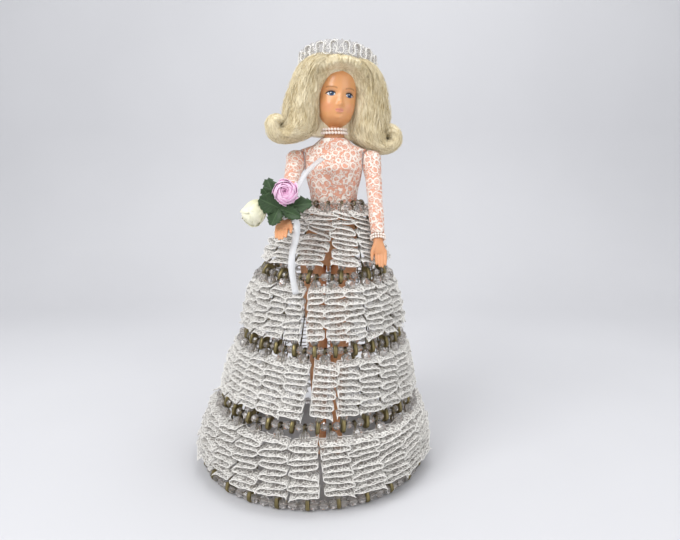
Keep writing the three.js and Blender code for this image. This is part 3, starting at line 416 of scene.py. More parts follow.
for name, side in SIDES.items():
    knuckle = -WRIST_DROP - 8.5
    palm = [
        (knuckle - 1.2, 4.4, 1.5, 1.4), (knuckle + 1.0, 4.8, 2.1, 1.9), (knuckle + 4.0, 4.4, 2.4, 2.2),
        (-WRIST_DROP - 2.2, 3.6, 2.7, 2.5), (-WRIST_DROP + 1.5, 3.2, 3.2, 3.2),
    ]
    hand = bmesh.new()
    loft(hand, [Section(z, *size, arm_x(side, z), power=0.85) for z, *size in palm], 14)
    outer = arm_x(side, knuckle) + side * 1.1
    for i, length in enumerate((9.0, 10.6, 11.0, 9.6)):
        offset = -side * (1.5 - i)
        root = (outer + offset * 2.1, 0.1, knuckle + 1.5)
        middle = (outer + offset * 2.08, -0.35, knuckle - length * 0.5)
        tip = (outer + offset * 2.0, -0.1, knuckle - length + 0.9)
        limb(hand, root, middle, 1.16, 1.06)
        limb(hand, middle, tip, 1.06, 0.80)
    thumb = [
        (arm_x(side, -WRIST_DROP) - side * out, y, -WRIST_DROP - down)
        for out, y, down in ((2.2, -0.8, 3.5), (4.3, -1.4, 8.5), (4.6, -1.6, 14.0))
    ]
    limb(hand, thumb[0], thumb[1], 1.7, 1.35)
    limb(hand, thumb[1], thumb[2], 1.3, 0.9)
    bm = bmesh.new()
    loft(bm, arm_sections(side), 16)
    bm.from_mesh(meshed("hand", hand))
    arm = piece(f"arm_{name}_vinyl", bm, vinyl, f"{name}_arm", [f"arm_{name}"], arm_matrix(name))
    remesh = arm.modifiers.new("one skin", "REMESH")
    remesh.mode = "VOXEL"
    remesh.voxel_size = 0.00038
    remesh.use_smooth_shade = True
    relax = arm.modifiers.new("relax", "SMOOTH")
    relax.factor = 0.5
    relax.iterations = 5
    shaped = arm.evaluated_get(bpy.context.evaluated_depsgraph_get())
    moulded = bpy.data.meshes.new_from_object(shaped)
    arm.modifiers.clear()
    arm.data = moulded


# Blouse and sleeves
# White lace with ring flowers over salmon pink lining, cut close to the body. The sleeves end in
# two strands of pearls and the armholes leave the arms free to swing.
lace = Finish("blouse lace", Roughness=0.75, Sheen_Weight=0.15)
lace_place = lace.place()
wander = lace.node("ShaderNodeTexNoise", None, {"Vector": lace_place, "Scale": 160.0})
warped = lace.node(
    "ShaderNodeVectorMath",
    {"operation": "MULTIPLY_ADD"},
    {0: wander.outputs["Color"], 1: (0.0022, 0.0022, 0.0022), 2: lace_place},
).outputs[0]
flower = lace.cells(warped, 190.0)
flower_ring = (flower - 0.44).absolute().rise(0.10, 0.045)
flower_heart = flower.rise(0.36, 0.30)
fine_ring = (lace.cells(warped, 520.0) - 0.40).absolute().rise(0.17, 0.07)
thread = flower_ring.most(fine_ring * (1 - flower_heart * 0.5) * 0.85)
thread_soft = thread * (lace.noise(lace_place, 1500.0, 1.0) * 0.35 + 0.80)
lace.tones(thread_soft, (0.74, 0.36, 0.25), (0.94, 0.86, 0.78))
lace.bump(thread, 0.0005, 0.9)


def thicken(obj, thickness, offset=0):
    """Cloth gets its thickness, in mm. An offset of -1 puts all of it inside."""
    wall = obj.modifiers.new("cloth", "SOLIDIFY")
    wall.thickness = thickness * MM
    wall.offset = offset


def eased(share):
    """The share, from 0 to 1, with a soft start and end."""
    return share * share * (3 - 2 * share)


def bulge(share, power):
    """1 in the middle and 0 at a share of 1, along a squarish arc."""
    return max(1 - abs(share) ** power, 0) ** (1 / power)


BODY = [
    Section(177, 18.4, 12.2, 12.4, DOLL_X - 0.8),
    Section(191, 15.4, 10.6, 10, DOLL_X),
    Section(200, 16.4, 11.4, 10.6, DOLL_X, 0, 0.95),
    Section(208, 18.6, 13.6, 11.2, DOLL_X, 0, 0.95),
    Section(215, 19.6, 17, 11.6, DOLL_X, 0, 0.95),
    Section(221.5, 19.6, 13.6, 11.2, DOLL_X, 0, 0.9),
    Section(226.9, 19.8, 10.4, 9.6, DOLL_X, 0, 0.9),
    Section(227.9, 24.2, 8.6, 8.2, DOLL_X, 0, 0.9),
    Section(231.5, 13.6, 8.8, 8.6, DOLL_X),
    Section(235.5, 8.8, 8.2, 8.2, DOLL_X),
]
# The blouse starts a little below the waist thread, and ends at the base of the neck.
levels = [
    184.5, 187, 189.5, 192, 194.4, 196, 198, 201, 204, 207, 210, 212.5, 215, 217, 219, 221.5, 224, 226.2,
    227.4, 228.4, 229.8, 231.5, 233.5, 235.0, 236.2,
]
ARMHOLE_RADIUS = 7.25
ARMHOLE_DEPTH = 6.8
bm = bmesh.new()
loft(bm, grown([section_at(BODY, z) for z in levels], 1.0), 48, capped=False)
bmesh.ops.subdivide_edges(bm, edges=bm.edges, cuts=1, use_grid_fill=True)
for side in SIDES.values():
    centre = Vector((DOLL_X + side * SHOULDER_SPACING, 0, SHOULDER_HEIGHT))
    for v in bm.verts:
        x, y, z = v.co - centre
        hollow = ARMHOLE_DEPTH * bulge(hypot(y, z) / ARMHOLE_RADIUS, 3.5)
        if hypot(y, z) < ARMHOLE_RADIUS and -side * x < hollow:
            v.co.x = centre.x - side * hollow
for v in bm.verts:
    fold = 0.22 * sin(v.co.z * 1.1 + 3 * sin(v.co.x * 0.35)) * max(0, 1 - abs(v.co.z - 200) / 9)
    v.co += Vector((v.co.x - DOLL_X, v.co.y, 0)).normalized() * max(fold, -0.1)
bodice = piece("blouse", bm, lace, "torso", ["bodice"])
thicken(bodice, 0.5, -1)

SLEEVE_END = 57.4
SLEEVE_OFFSET = 0.95
CAP_REACH = 6.65
for name, side in SIDES.items():
    bm = bmesh.new()
    heights = [-SLEEVE_END + step * 2.05 for step in range(29)]
    sections = grown([section_at(arm_sections(side), z) for z in heights], SLEEVE_OFFSET)
    cap = ARM_BALL + SLEEVE_OFFSET
    sections += [disc(0, cap * sin(radians(a)), cap * cos(radians(a))) for a in (12, 24, 36, 50, 64, 78)]
    loft(bm, sections, 28, capped=False)
    top_ring = [e for e in bm.edges if e.is_boundary and e.verts[0].co.z > 0]
    bmesh.ops.edgeloop_fill(bm, edges=top_ring)
    random.seed(11 + side)
    phase = random.uniform(0, 6)
    # The cap bulges to fill the armhole, its inner face follows the armhole's hollow, and below it
    # the sleeve wrinkles.
    for v in bm.verts:
        reach = hypot(v.co.y, v.co.z)
        out = side * v.co.x
        wanted = CAP_REACH * bulge(out / CAP_REACH, 2.1 if out > 0 else 3.4)
        if v.co.z > -8 and 0.05 < reach < wanted:
            grow = 1 + (wanted / reach - 1) * eased(min((v.co.z + 8) / 7, 1))
            v.co.y *= grow
            v.co.z *= grow if v.co.z > 0 else 1
    for v in bm.verts:
        inner = -side * v.co.x
        if inner > 1 and v.co.z > -13:
            level = v.co.z if v.co.z > 0 else v.co.z * min(max((-v.co.y - 0.5) / 3, 0), 1)
            face_reach = CAP_REACH * bulge(hypot(v.co.y, level) / ARMHOLE_RADIUS, 3.5)
            share = min((inner - 1) / 3, 1) * min((v.co.z + 13) / 7, 1)
            v.co.x = -side * (inner + max(face_reach - inner, 0) * share)
    for v in bm.verts:
        wrinkle = sin(v.co.z * 0.9 + phase) * sin(v.co.z * 0.37 + atan2(v.co.y, v.co.x))
        outward = Vector((v.co.x - arm_x(side, v.co.z), v.co.y, 0))
        if v.co.z < -4 and outward.length > 0.1:
            v.co += outward.normalized() * (0.12 + 0.16 * wrinkle)
    node = f"sleeve_{name}"
    sleeve = piece(f"{node}_lace", bm, lace, f"{name}_arm", [node], arm_matrix(name))
    thicken(sleeve, 0.5, -1)


# Pearls
# Small cream pearls on threads: two strands round the neck and two at each wrist.
pearl = Finish("pearl", Roughness=0.22, Coat_Weight=0.6, Coat_Roughness=0.1, Sheen_Weight=0.1)
pearl.tones(pearl.noise(pearl.place(), 500.0), (0.86, 0.72, 0.62), (0.92, 0.86, 0.80))


def ball(columns, rows):
    """The mesh of a ball of radius 1."""
    bm = bmesh.new()
    bmesh.ops.create_uvsphere(bm, u_segments=columns, v_segments=rows, radius=1.0)
    return meshed("ball", bm)


def stamp(bm, pattern, matrix):
    """A copy of a small mesh, set into a larger one."""
    count = len(bm.verts)
    bm.from_mesh(pattern)
    bm.verts.ensure_lookup_table()
    bmesh.ops.transform(bm, matrix=matrix, verts=bm.verts[count:])


pearl_pattern = ball(10, 7)


def strand(name, node, body, at, centre, reach, count, radius):
    """A closed strand of pearls round a centre, which is an x and a height."""
    bm = bmesh.new()
    for i in range(count):
        angle = tau * i / count
        spot = Vector((centre[0] + reach * cos(angle), reach * sin(angle), centre[1]))
        stamp(bm, pearl_pattern, at @ Matrix.Translation(spot) @ Matrix.Scale(radius, 4))
    piece(name, bm, pearl, body, [node])


strand("necklace_low", "necklace_lower", "torso", Matrix(), (DOLL_X, NECK_BASE + 4.1), 9.4, 27, 1.12)
strand("necklace_high", "necklace_upper", "torso", Matrix(), (DOLL_X, NECK_BASE + 6.5), 9.0, 26, 1.08)
for name, side in SIDES.items():
    for label, step in (("upper", 1), ("lower", 3.1)):
        height = -SLEEVE_END - 0.3 - 0.9 * step
        reach = section_at(arm_sections(side), height).half + 1.25
        cuff, node = f"cuff_{name}_{label}", f"cuff_pearls_{name}_{label}"
        strand(cuff, node, f"{name}_arm", arm_matrix(name), (arm_x(side, height), height), reach, 16, 0.9)


# Skirt threads
# Clear elastic thread runs round the waist and at the foot of each tier, through the coils of
# the pins below it and the clasp heads of the pins above it.
class Tier(NamedTuple):
    """A row of pins, with angles in degrees and sizes in mm."""

    pins: int
    first: float  # the angle at which its first pin stands
    lean: float  # the angle between a pin's top and its foot
    out: float  # how far out the lace stands
    slit: float  # how far the lace stays away from the slit
    loose: float  # how unevenly the lace is gathered
    fall: float  # how far the lace's outer edge hangs down
    head: float  # how far a clasp head reaches below its thread


TIERS = [
    Tier(pins=13, first=-102, lean=0, out=7.6, slit=0, loose=1.45, fall=5.2, head=5.2),
    Tier(pins=26, first=-95.1, lean=1.6, out=8.4, slit=2.6, loose=1.1, fall=4.2, head=5.2),
    Tier(pins=26, first=-86.6, lean=-0.9, out=8.2, slit=3.0, loose=1.0, fall=3.8, head=5.2),
    Tier(pins=26, first=-80.6, lean=4.4, out=10.6, slit=1.2, loose=1.0, fall=3.4, head=3.8),
]
# Each thread's middle in x, its radius in x and in y, and the radius of its largest beads.
RINGS = [(DOLL_X + 0.3, 19.5, 15.9, 1.9), (8, 43, 43, 2.75), (6.5, 55, 55, 2.75), (2.2, 68, 68, 2.75),
         (-0.8, 81, 81, 3.6)]
WAIST_HEIGHT = 191
RING_DROP = (WAIST_HEIGHT - TIERS[3].head) / 4


def ring_point(number, angle):
    """A point on a thread, counted from the waist down."""
    x, rx, ry, _ = RINGS[number]
    return Vector((x + rx * cos(angle), ry * sin(angle), WAIST_HEIGHT - number * RING_DROP))


def pin_angles(tier, lean=0.0):
    """The angles of a tier's pins, at their tops or with their lean."""
    plan = TIERS[tier]
    return [radians(plan.first + 360 * i / plan.pins) + lean for i in range(plan.pins)]


def wires(name, lines, radius, finish, body, closed=False, taper=None):
    """Round threads or wires through lists of points in mm, as one curve piece."""
    data = bpy.data.curves.new(name, "CURVE")
    data.dimensions = "3D"
    data.bevel_depth = radius * MM
    data.bevel_resolution = 0 if radius < 0.4 else 1
    data.resolution_u = 1
    data.use_fill_caps = True
    for line in lines:
        spline = data.splines.new("POLY")
        spline.points.add(len(line) - 1)
        spline.use_cyclic_u = closed
        for k, (point, p) in enumerate(zip(spline.points, line)):
            point.co = (p[0] * MM, p[1] * MM, p[2] * MM, 1)
            point.radius = taper(k / (len(line) - 1)) if taper else 1
    return mount(name, data, finish, body)


elastic = Finish("elastic thread", Base_Color=(0.45, 0.40, 0.36), Alpha=0.8)
elastic.set("Roughness", elastic.noise(elastic.place(), 700.0) * 0.3 + 0.25)
loops = [[ring_point(number, tau * i / 96) for i in range(96)] for number in range(5)]
wires("skirt_threads", loops, 0.42, elastic, "torso", closed=True)


# Beads
# Clear faceted beads, slightly pink, between the pins on every thread and as a stop above and
# below the lace on every pin.
crystal = Finish(
    "clear bead",
    Base_Color=(0.98, 0.94, 0.91),
    Transmission_Weight=0.90,
    IOR=1.52,
    Coat_Weight=0.5,
    Coat_Roughness=0.02,
)
crystal.set("Roughness", crystal.noise(crystal.place(), 900.0) * 0.08 + 0.01)
bead_pattern = ball(8, 6)
random.seed(21)


def set_bead(bm, spot, radius, stretch=1.0):
    turn = Matrix.Rotation(random.uniform(0, 6.28), 4, Vector((random.random(), random.random(), 1)))
    size = Matrix.Diagonal((radius, radius, radius * stretch, 1))
    stamp(bm, bead_pattern, Matrix.Translation(spot) @ turn @ size)


for number, label in enumerate(("waist", "first", "second", "third", "hem")):
    bm = bmesh.new()
    above = pin_angles(number - 1, radians(TIERS[number - 1].lean)) if number > 0 else []
    below = pin_angles(number) if number < 4 else []
    angles = sorted(a % tau for a in above + below)
    parts = 3 if number == 4 else 1
    for angle, following in zip(angles, angles[1:] + [angles[0] + tau]):
        gap = (ring_point(number, following) - ring_point(number, angle)).length / parts
        for part in range(parts):
            middle = angle + (following - angle) * (part + 0.5) / parts
            set_bead(bm, ring_point(number, middle), min(RINGS[number][3], gap * 0.5))
    piece(f"{label}_beads", bm, crystal, "torso", [f"{label}_bead_ring"], smooth=False)


# Safety pins
# Brass safety pins: two wires from a coil at the top to a folded sheet clasp at the foot, and a
# bead on the front wire above and below the lace.
brass = Finish("clasp brass", Metallic=1.0)
brass_place = brass.place()
tarnish = brass.noise(brass_place, 260.0, 4.0)
brass.tones(tarnish, (0.09, 0.075, 0.033), (0.38, 0.31, 0.15))
brass.set("Roughness", tarnish * 0.25 + 0.24)
brass.bump(brass.noise(brass_place, 1300.0), 0.00003, 0.5)
wire = Finish("pin wire", Metallic=1.0, Roughness=0.34)
wire.tones(wire.noise(wire.place(), 330.0, 3.0), (0.07, 0.06, 0.04), (0.24, 0.20, 0.12))
COIL_HALF = 2.0
HEAD_HALF = 3.75
CLASP_DEPTH = 2.6


def pin_frame(tier, angle):
    """Where one pin runs: its top, its length, and its directions along, out and across."""
    top = ring_point(tier, angle)
    foot = ring_point(tier + 1, angle + radians(TIERS[tier].lean))
    along = (foot - top).normalized()
    out = Vector((cos(angle), sin(angle), 0))
    out = (out - along * out.dot(along)).normalized()
    return top, (foot - top).length, along, out, out.cross(along)


def clasp_pattern(reach):
    """A clasp head: sheet brass folded over the ends of the wires, round at its foot."""
    bm = bmesh.new()
    bmesh.ops.create_circle(bm, cap_ends=True, segments=16, radius=HEAD_HALF - 0.3)
    for v in bm.verts:
        if v.co.y > 0:
            v.co.y = v.co.y * 0.25 + 6.2
    bmesh.ops.rotate(bm, matrix=Matrix.Rotation(pi / 2, 3, "X"), verts=bm.verts)
    bmesh.ops.translate(bm, vec=(0, -CLASP_DEPTH / 2, 0), verts=bm.verts)
    extruded = bmesh.ops.extrude_face_region(bm, geom=bm.faces)["geom"]
    moved = [g for g in extruded if isinstance(g, bmesh.types.BMVert)]
    bmesh.ops.translate(bm, vec=(0, CLASP_DEPTH, 0), verts=moved)
    rim = [e for e in bm.edges if abs(e.verts[0].co.y - e.verts[1].co.y) < 0.01]
    bmesh.ops.bevel(
        bm, geom=rim, offset=0.7, offset_type="OFFSET", segments=2, profile=0.5, affect="EDGES",
        material=-1,
    )
    bmesh.ops.recalc_face_normals(bm, faces=bm.faces)
    bmesh.ops.translate(bm, vec=(0, 0, HEAD_HALF - reach), verts=bm.verts)
    data = meshed("clasp pattern", bm)
    data.shade_smooth()
    return data


for tier, plan in enumerate(TIERS):
    clasp = clasp_pattern(plan.head)
    heads, stops = bmesh.new(), bmesh.new()
    lines = []
    for angle in pin_angles(tier):
        top, length, along, out, across = pin_frame(tier, angle)
        turn = Matrix((out, across, -along)).transposed().to_4x4()
        stamp(heads, clasp, Matrix.Translation(top + along * length) @ turn)

        def spot(s, w, h=0.0):
            return top + along * s + out * w + across * h

        line = [spot(length - 2, HEAD_HALF - 0.9, -0.3), spot(3, COIL_HALF - 0.1, -0.6)]
        for k in range(2, 17):
            swing = radians(-90 + 40 * k)
            line.append(spot(-COIL_HALF * sin(swing) * 0.95, COIL_HALF * cos(swing), (k - 9) * 0.09))
        line += [spot(3, -COIL_HALF + 0.1, 0.6), spot(length - 2, -HEAD_HALF + 0.9, 0.3)]
        lines.append(line)
        set_bead(stops, spot(5.6, COIL_HALF + 1.4), 3.8, 0.92)
        set_bead(stops, spot(length - 6.3, HEAD_HALF - 0.6), 2.9)
    label = f"tier_{tier + 1}"
    piece(f"{label}_clasps", heads, brass, "torso", [f"{label}_pins"])
    piece(f"{label}_stop_beads", stops, crystal, "torso", smooth=False)
    wires(f"{label}_wires", lines, 0.5, wire, "torso")


# Gathered lace
# A strip of sheer net with a white cord along its edges and rings of white thread worked into it.
# It is threaded on the front wire of a pin, back and forth, so that its outer edge hangs in loops.
net = Finish("sheer net", Roughness=0.7, Sheen_Weight=0.1)
net_uv = net.uv()
eyelet_ring = (net.cells(net_uv, 430.0) - 0.40).absolute().rise(0.13, 0.05)
mesh_line = net.cells(net_uv, 1500.0, "DISTANCE_TO_EDGE").rise(0.14, 0.05)
net_thread = eyelet_ring.most(mesh_line * 0.30)
net.tones(net_thread, (0.34, 0.31, 0.285), (0.84, 0.82, 0.78))
net.set("Alpha", net_thread * 0.45 + 0.50)
net.bump(net_thread, 0.0003, 0.8)
cord = Finish("white cord", Roughness=0.8, Sheen_Weight=0.2)
cord.tones(cord.noise(cord.place(), 1400.0, 1.0), (0.80, 0.78, 0.74), (0.96, 0.94, 0.90))


def woven(bm, columns, rows, place, uv=lambda a, b: (a, b)):
    """A sheet of cloth. Its points are at place(a, b), with a and b from 0 to 1 along and across."""
    uv_layer = bm.loops.layers.uv.verify()
    verts = bmesh.ops.create_grid(bm, x_segments=columns, y_segments=rows, size=1.0)["verts"]
    maps = {}
    for v in verts:
        a, b = (v.co.x + 1) / 2, (v.co.y + 1) / 2
        maps[v] = uv(a, b)
        v.co = place(a, b)
    for face in {f for v in verts for f in v.link_faces}:
        for corner in face.loops:
            corner[uv_layer].uv = maps[corner.vert]


def net_strip(bm, passes, point, pitch):
    """One strip of net laid back and forth. point(t, depth) is where it lies, with t in passes."""

    def place(a, b):
        return point(a * passes, b)

    def uv(a, b):
        return a * passes * pitch[0], b * pitch[1]

    woven(bm, passes * 12, 4, place, uv)


def candy(t, squeeze):
    """How far along, in passes, and which way across a folded strip is after t passes."""
    return t + squeeze * sin(tau * t), cos(pi * t)


def between(values, k, share):
    """A value between the one numbered k and the next."""
    return values[k] * (1 - share) + values[k + 1] * share


def worked_rings(passes, point, per_pass):
    """The thread that runs along a strip in small rings, of seven points each."""
    line = []
    for k in range(passes * per_pass * 7 + 1):
        turn = tau * k / 7
        t = k / (7 * per_pass) + 0.62 / per_pass * sin(turn)
        line.append(point(min(max(t, 0), passes), 0.62 + 0.32 * cos(turn)))
    return line


random.seed(5)
LACE_TOP, LACE_FOOT = 4.6, 9.0
for tier, plan in enumerate(TIERS):
    bm = bmesh.new()
    edges, rings = [], []
    passes = 11 if tier == 0 else 9
    mean = (RINGS[tier][1] + RINGS[tier + 1][1]) / 2
    rim = mean + plan.out * 0.8
    for i, angle in enumerate(pin_angles(tier)):
        top, length, along, out, across = pin_frame(tier, angle)
        half = rim * (tau / plan.pins) / 2 * random.uniform(1.0, 1.12)
        phase = random.choice((0, 1))
        seeds = [random.uniform(-1, 1) for _ in range(passes + 2)]
        tilts = [random.uniform(-1, 1) for _ in range(passes + 2)]
        # The skirt's slit runs between the first pins and the last, and one more strip is narrow.
        trim_low = plan.slit * 0.75 if i == 0 else 2.2 if (tier, i) == (2, 1) else 0
        trim_high = plan.slit * 0.75 if i == plan.pins - 1 else 0

        def strip_point(t, depth):
            progress, swing = candy(t + phase, 0.17)
            share = min(max((progress - phase) / passes, 0), 1)
            s = LACE_TOP + (length - LACE_TOP - LACE_FOOT) * share
            swell = 0.80 + 0.20 * sin(pi * (0.15 + 0.7 * share))
            inner = COIL_HALF + (HEAD_HALF - COIL_HALF) * share - 0.2
            k = int(min(max(t, 0), passes))
            wobble = between(seeds, k, eased(t - k)) * plan.loose
            tilt = between(tilts, k, eased(t - k)) * plan.loose ** 2
            frill = 0.5 * sin(tau * t * 3.5 + 5 * seeds[0]) * depth ** 2
            w = inner + (plan.out * swell - inner) * depth + 0.6 * wobble * depth + 0.3 * frill
            low = trim_low - half / 1.06 if trim_low else -half * 1.2
            high = half / 1.06 - trim_high if trim_high else half * 1.2
            h = min(max(swing * (half * (mean + w * 0.8) / rim + 1.1 * wobble), low), high)
            droop = (plan.fall + 0.8 * wobble) * depth ** 1.3 + 0.9 * tilt * depth * swing + 0.35 * frill
            return top + along * min(s + droop, length - 4.2) + out * w + across * h

        net_strip(bm, passes, strip_point, (0.017, 0.009))
        for depth, steps in ((1.0, 110), (0.0, 50)):
            edges.append([strip_point(passes * k / steps, depth) for k in range(steps + 1)])
        rings.append(worked_rings(passes, strip_point, 6))
    label = f"tier_{tier + 1}_lace"
    strips = piece(f"{label}_net", bm, net, "torso", [label])
    cords = wires(f"{label}_cords", edges, 0.27, cord, "torso")
    worked = wires(f"{label}_rings", rings, 0.21, cord, "torso")


# Head
# Hollow soft vinyl with a moulded nose and lips, and painted scalp, eyes, lashes, brows and lips.
# The sections give the skull, and each feature is a soft rise or hollow on its front.
HEAD_PIVOT = 246
head_turn = Matrix.Rotation(radians(5.5), 4, "Y") @ Matrix.Rotation(radians(13), 4, "Z")
head_matrix = Matrix.Translation((DOLL_X, 0, HEAD_PIVOT)) @ head_turn
SKULL = [
    Section(-2.4, 6.8, 5.8, 7.5, y=1.5), Section(-0.6, 8.2, 7.4, 9.6, y=1.2),
    Section(1.0, 9.4, 11.2, 12.4, y=0.4), Section(2.4, 10.7, 13.8, 14.2), Section(4.6, 11.9, 15.2, 15.8),
    Section(8.5, 13.5, 15.4, 17), Section(14, 13.9, 15.3, 17.8), Section(19.5, 14.3, 15.1, 18.2),
    Section(26, 14.2, 15.7, 18), Section(32, 13.2, 14.8, 17), Section(37, 10.8, 11.8, 14),
    Section(40.5, 6.8, 7.4, 9), Section(42, 2.9, 3.1, 3.8),
]
# x, z, spread in x, spread in z, height. The features with an x are on both sides of the face.
face_features = [
    (6.3, 18.8, 3.2, 2.1, -1.35), (6.4, 18.7, 2.1, 1.15, 0.85), (6.2, 20.6, 2.6, 0.5, 0.28),
    (6.0, 23.0, 3.8, 1.5, 0.50), (0.0, 17.0, 1.3, 4.2, 1.35), (0.0, 12.5, 1.5, 1.8, 2.7),
    (1.7, 11.8, 0.85, 0.75, 1.15), (0.0, 9.5, 2.3, 0.55, 0.85), (0.0, 7.5, 2.1, 0.6, 1.10),
    (0.0, 8.45, 2.8, 0.32, -0.55), (0.0, 6.0, 2.0, 0.6, -0.45), (0.0, 3.2, 3.0, 1.6, 1.15),
    (7.8, 11.6, 3.0, 3.4, 0.85), (10.4, 6.4, 2.4, 3.0, -0.2),
]
levels = [-2.4, -1.8, -1.2, -0.6, 0.0] + [0.5 + 0.7 * k for k in range(53)] + [38, 39, 40, 40.8, 41.4, 41.9]
smooth_skull = []
for z in levels:
    near = [section_at(SKULL, min(max(z + d, -2.4), 42)) for d in (-1.6, -0.8, 0, 0.8, 1.6)]
    smooth_skull.append(Section(z, *(sum(values) / 5 for values in list(zip(*near))[1:])))
bm = bmesh.new()
loft(bm, smooth_skull, 112)
for v in bm.verts:
    if v.co.y < -4:
        push = 0.0
        for x, z, spread_x, spread_z, height in face_features:
            for place in {x, -x}:
                push += height * exp(-(((v.co.x - place) / spread_x) ** 2 + ((v.co.z - z) / spread_z) ** 2))
        v.co.y -= push
face = Finish("painted face", Roughness=0.29, **SOFT)
head_frame = {
    "Vector": face.place(),
    "Location": (DOLL_X * MM, 0, HEAD_PIVOT * MM),
    "Rotation": tuple(head_turn.to_euler("XYZ")),
    "Scale": (MM, MM, MM),
}
mapping = face.node("ShaderNodeMapping", {"vector_type": "TEXTURE"}, head_frame)
face_x, face_y, face_z = face.axes(mapping.outputs["Vector"])
front = face_y.rise(-6.0, -9.0)
sideways = face_x.absolute()


def patch(x, z, half_width, half_height, soft):
    """1 inside an oval on each side of the face and 0 outside it, with a soft edge."""
    reach = ((sideways - x) / half_width) ** 2 + ((face_z - z) / half_height) ** 2
    return reach.rise(1 + soft, 1 - soft) * front


def stroke(middle, half_width, soft, centre, half_length):
    """1 along a painted line whose middle height is given, fading out at its ends."""
    across = (face_z - middle).absolute().rise(half_width + soft, half_width)
    return across * (sideways - centre).absolute().rise(half_length, half_length - 0.7) * front


white = patch(6.35, 18.7, 2.55, 1.45, 0.15)
iris_reach = ((sideways - 6.3 - face_x * 0.035) ** 2 + (face_z - 18.75) ** 2) ** 0.5
iris_blue = face.blend(iris_reach.rise(0.7, 1.5), (0.03, 0.12, 0.29), (0.006, 0.02, 0.07))
# A painted highlight in each eye: the reflection of the light from the upper left, set the same way in both
# eyes.
painted_eye_highlight = ((face_x + 6.6) ** 2 + (face_z - 19.3) ** 2).least((face_x - 6.1) ** 2 + (face_z - 19.3) ** 2)
lid = (sideways - 6.3) ** 2
brow = stroke(23.2 - (sideways - 6.6) ** 2 * 0.05, 0.25, 0.65, 6.4, 3.9)
lip_edge = sideways.rise(3.2, 2.5) * front
upper_lip = (face_z - 9.15 + (sideways - 0.9).absolute() * 0.30).absolute().rise(0.80, 0.50)
lower_lip = (face_z - 7.65 - sideways ** 2 * 0.09).absolute().rise(0.95, 0.60)
seam = (face_z - 8.42).absolute().rise(0.22, 0.08) * sideways.rise(2.9, 2.2) * front
hairline = 34.0 - sideways ** 2 * 0.05
scalp = (face_z - hairline).rise(-0.4, 1.0).most(face_y.rise(-8.0, -5.0))
colour = face.blend(face.noise(face.place(), 90.0, 3.0), (0.68, 0.305, 0.12), (0.79, 0.405, 0.18))
# Each layer of paint lies over those before it: the cheeks and lids, the whites, irises and pupils,
# a painted highlight in each eye where the lamp's reflection would be, the lashes, the creases of the
# lids and the lower lashes, the brows, the lips and the line between them, and the scalp.
for where, tone in [
    (patch(8.2, 10.2, 4.0, 3.4, 0.9) * 0.30, (0.80, 0.33, 0.22)),
    (patch(6.5, 20.4, 3.3, 1.5, 0.7) * 0.35, (0.40, 0.20, 0.13)),
    (white, (0.70, 0.74, 0.78)),
    (iris_reach.rise(1.70, 1.50) * white, iris_blue),
    (iris_reach.rise(0.85, 0.70) * white, (0.004, 0.005, 0.008)),
    ((painted_eye_highlight ** 0.5).rise(0.38, 0.26) * white, (0.90, 0.93, 0.97)),
    (stroke(20.15 - lid * 0.13, 0.34, 0.24, 6.7, 3.5), (0.008, 0.007, 0.010)),
    (stroke(20.85 - lid * 0.10, 0.08, 0.25, 6.5, 3.1) * 0.6, (0.22, 0.09, 0.05)),
    (stroke(17.35 + lid * 0.12, 0.08, 0.24, 6.6, 2.9) * 0.75, (0.10, 0.05, 0.04)),
    (brow * 0.55, (0.30, 0.13, 0.045)),
    (upper_lip.most(lower_lip) * lip_edge * 0.62, (0.74, 0.27, 0.23)),
    (seam * 0.6, (0.34, 0.11, 0.08)),
    (scalp * face_z.rise(4.0, 8.0), (0.52, 0.41, 0.22)),
]:
    colour = face.blend(where, colour, tone)
face.set("Base Color", colour)
piece("head_vinyl", bm, face, "head", ["head"], head_matrix)


# Hair
# Rooted pale blonde fibre in fine wavy locks. It is combed up from the hairline and down both
# sides, and its ends turn up in loose curls at the shoulders, over fuller masses underneath.
CROWN = [
    Section(9, 26, 15, 21.5, power=0.95), Section(18, 29.5, 18, 24, power=0.95),
    Section(26, 31, 19.5, 25, power=0.95), Section(30, 29, 20.2, 24.6), Section(32.5, 25, 20.2, 24),
    Section(36.5, 24, 20, 23), Section(40.5, 21, 19.2, 20.5), Section(43.5, 16, 16, 15.5),
    Section(45.5, 8.5, 8, 8),
]
CROWN_TOP = 45.4
hair = Finish("blonde fibre", Roughness=0.40, Sheen_Weight=0.08, Specular_IOR_Level=0.4)
hair_place = hair.place()
streak = hair.noise(hair.stretched(hair_place, (1, 1, 0.2)), 850.0)
clump = hair.noise(hair.stretched(hair_place, (1, 1, 0.45)), 150.0)
tone = hair.blend(streak.rise(0.3, 0.7), (0.62, 0.50, 0.27), (0.92, 0.82, 0.58))
hair.tones(clump.rise(0.3, 0.75) * 0.55, tone, (0.98, 0.90, 0.70))
hair.bump(streak, 0.0004, 0.7)
# A side mass from its root to the tip of its curl: x and z of its inner edge, x and z of its
# outer edge, and its depth to the front and to the back.
SIDE_HAIR = [
    (1.5, 42.5, 6, 46, 9, 12), (7, 38.5, 16, 44.5, 16, 14), (11.5, 33, 24.5, 39.8, 16.5, 14),
    (13.6, 26, 30, 32.5, 15, 15), (13.8, 18, 33, 24, 13, 15), (13.2, 10, 35, 16, 12, 15),
    (12.2, 3, 36.4, 9, 11.5, 14.5), (13, -4, 36.2, 3, 11.5, 14), (17.5, -9.8, 35.8, -2, 11.5, 13),
    (26, -14.2, 36.4, -6, 11, 12.5), (36, -16.3, 38.6, -7.4, 11, 12.5), (45, -13.6, 40.6, -6.6, 11, 12),
    (49.6, -6.5, 40.6, -5.2, 10, 11), (47.8, 1.2, 39.6, -4.4, 9, 10), (42.0, 4.8, 38.2, -4.2, 8, 8),
    (36.8, 3.6, 37.0, -4.2, 7, 7), (33.4, 0.6, 36.0, -4.0, 6, 6),
]
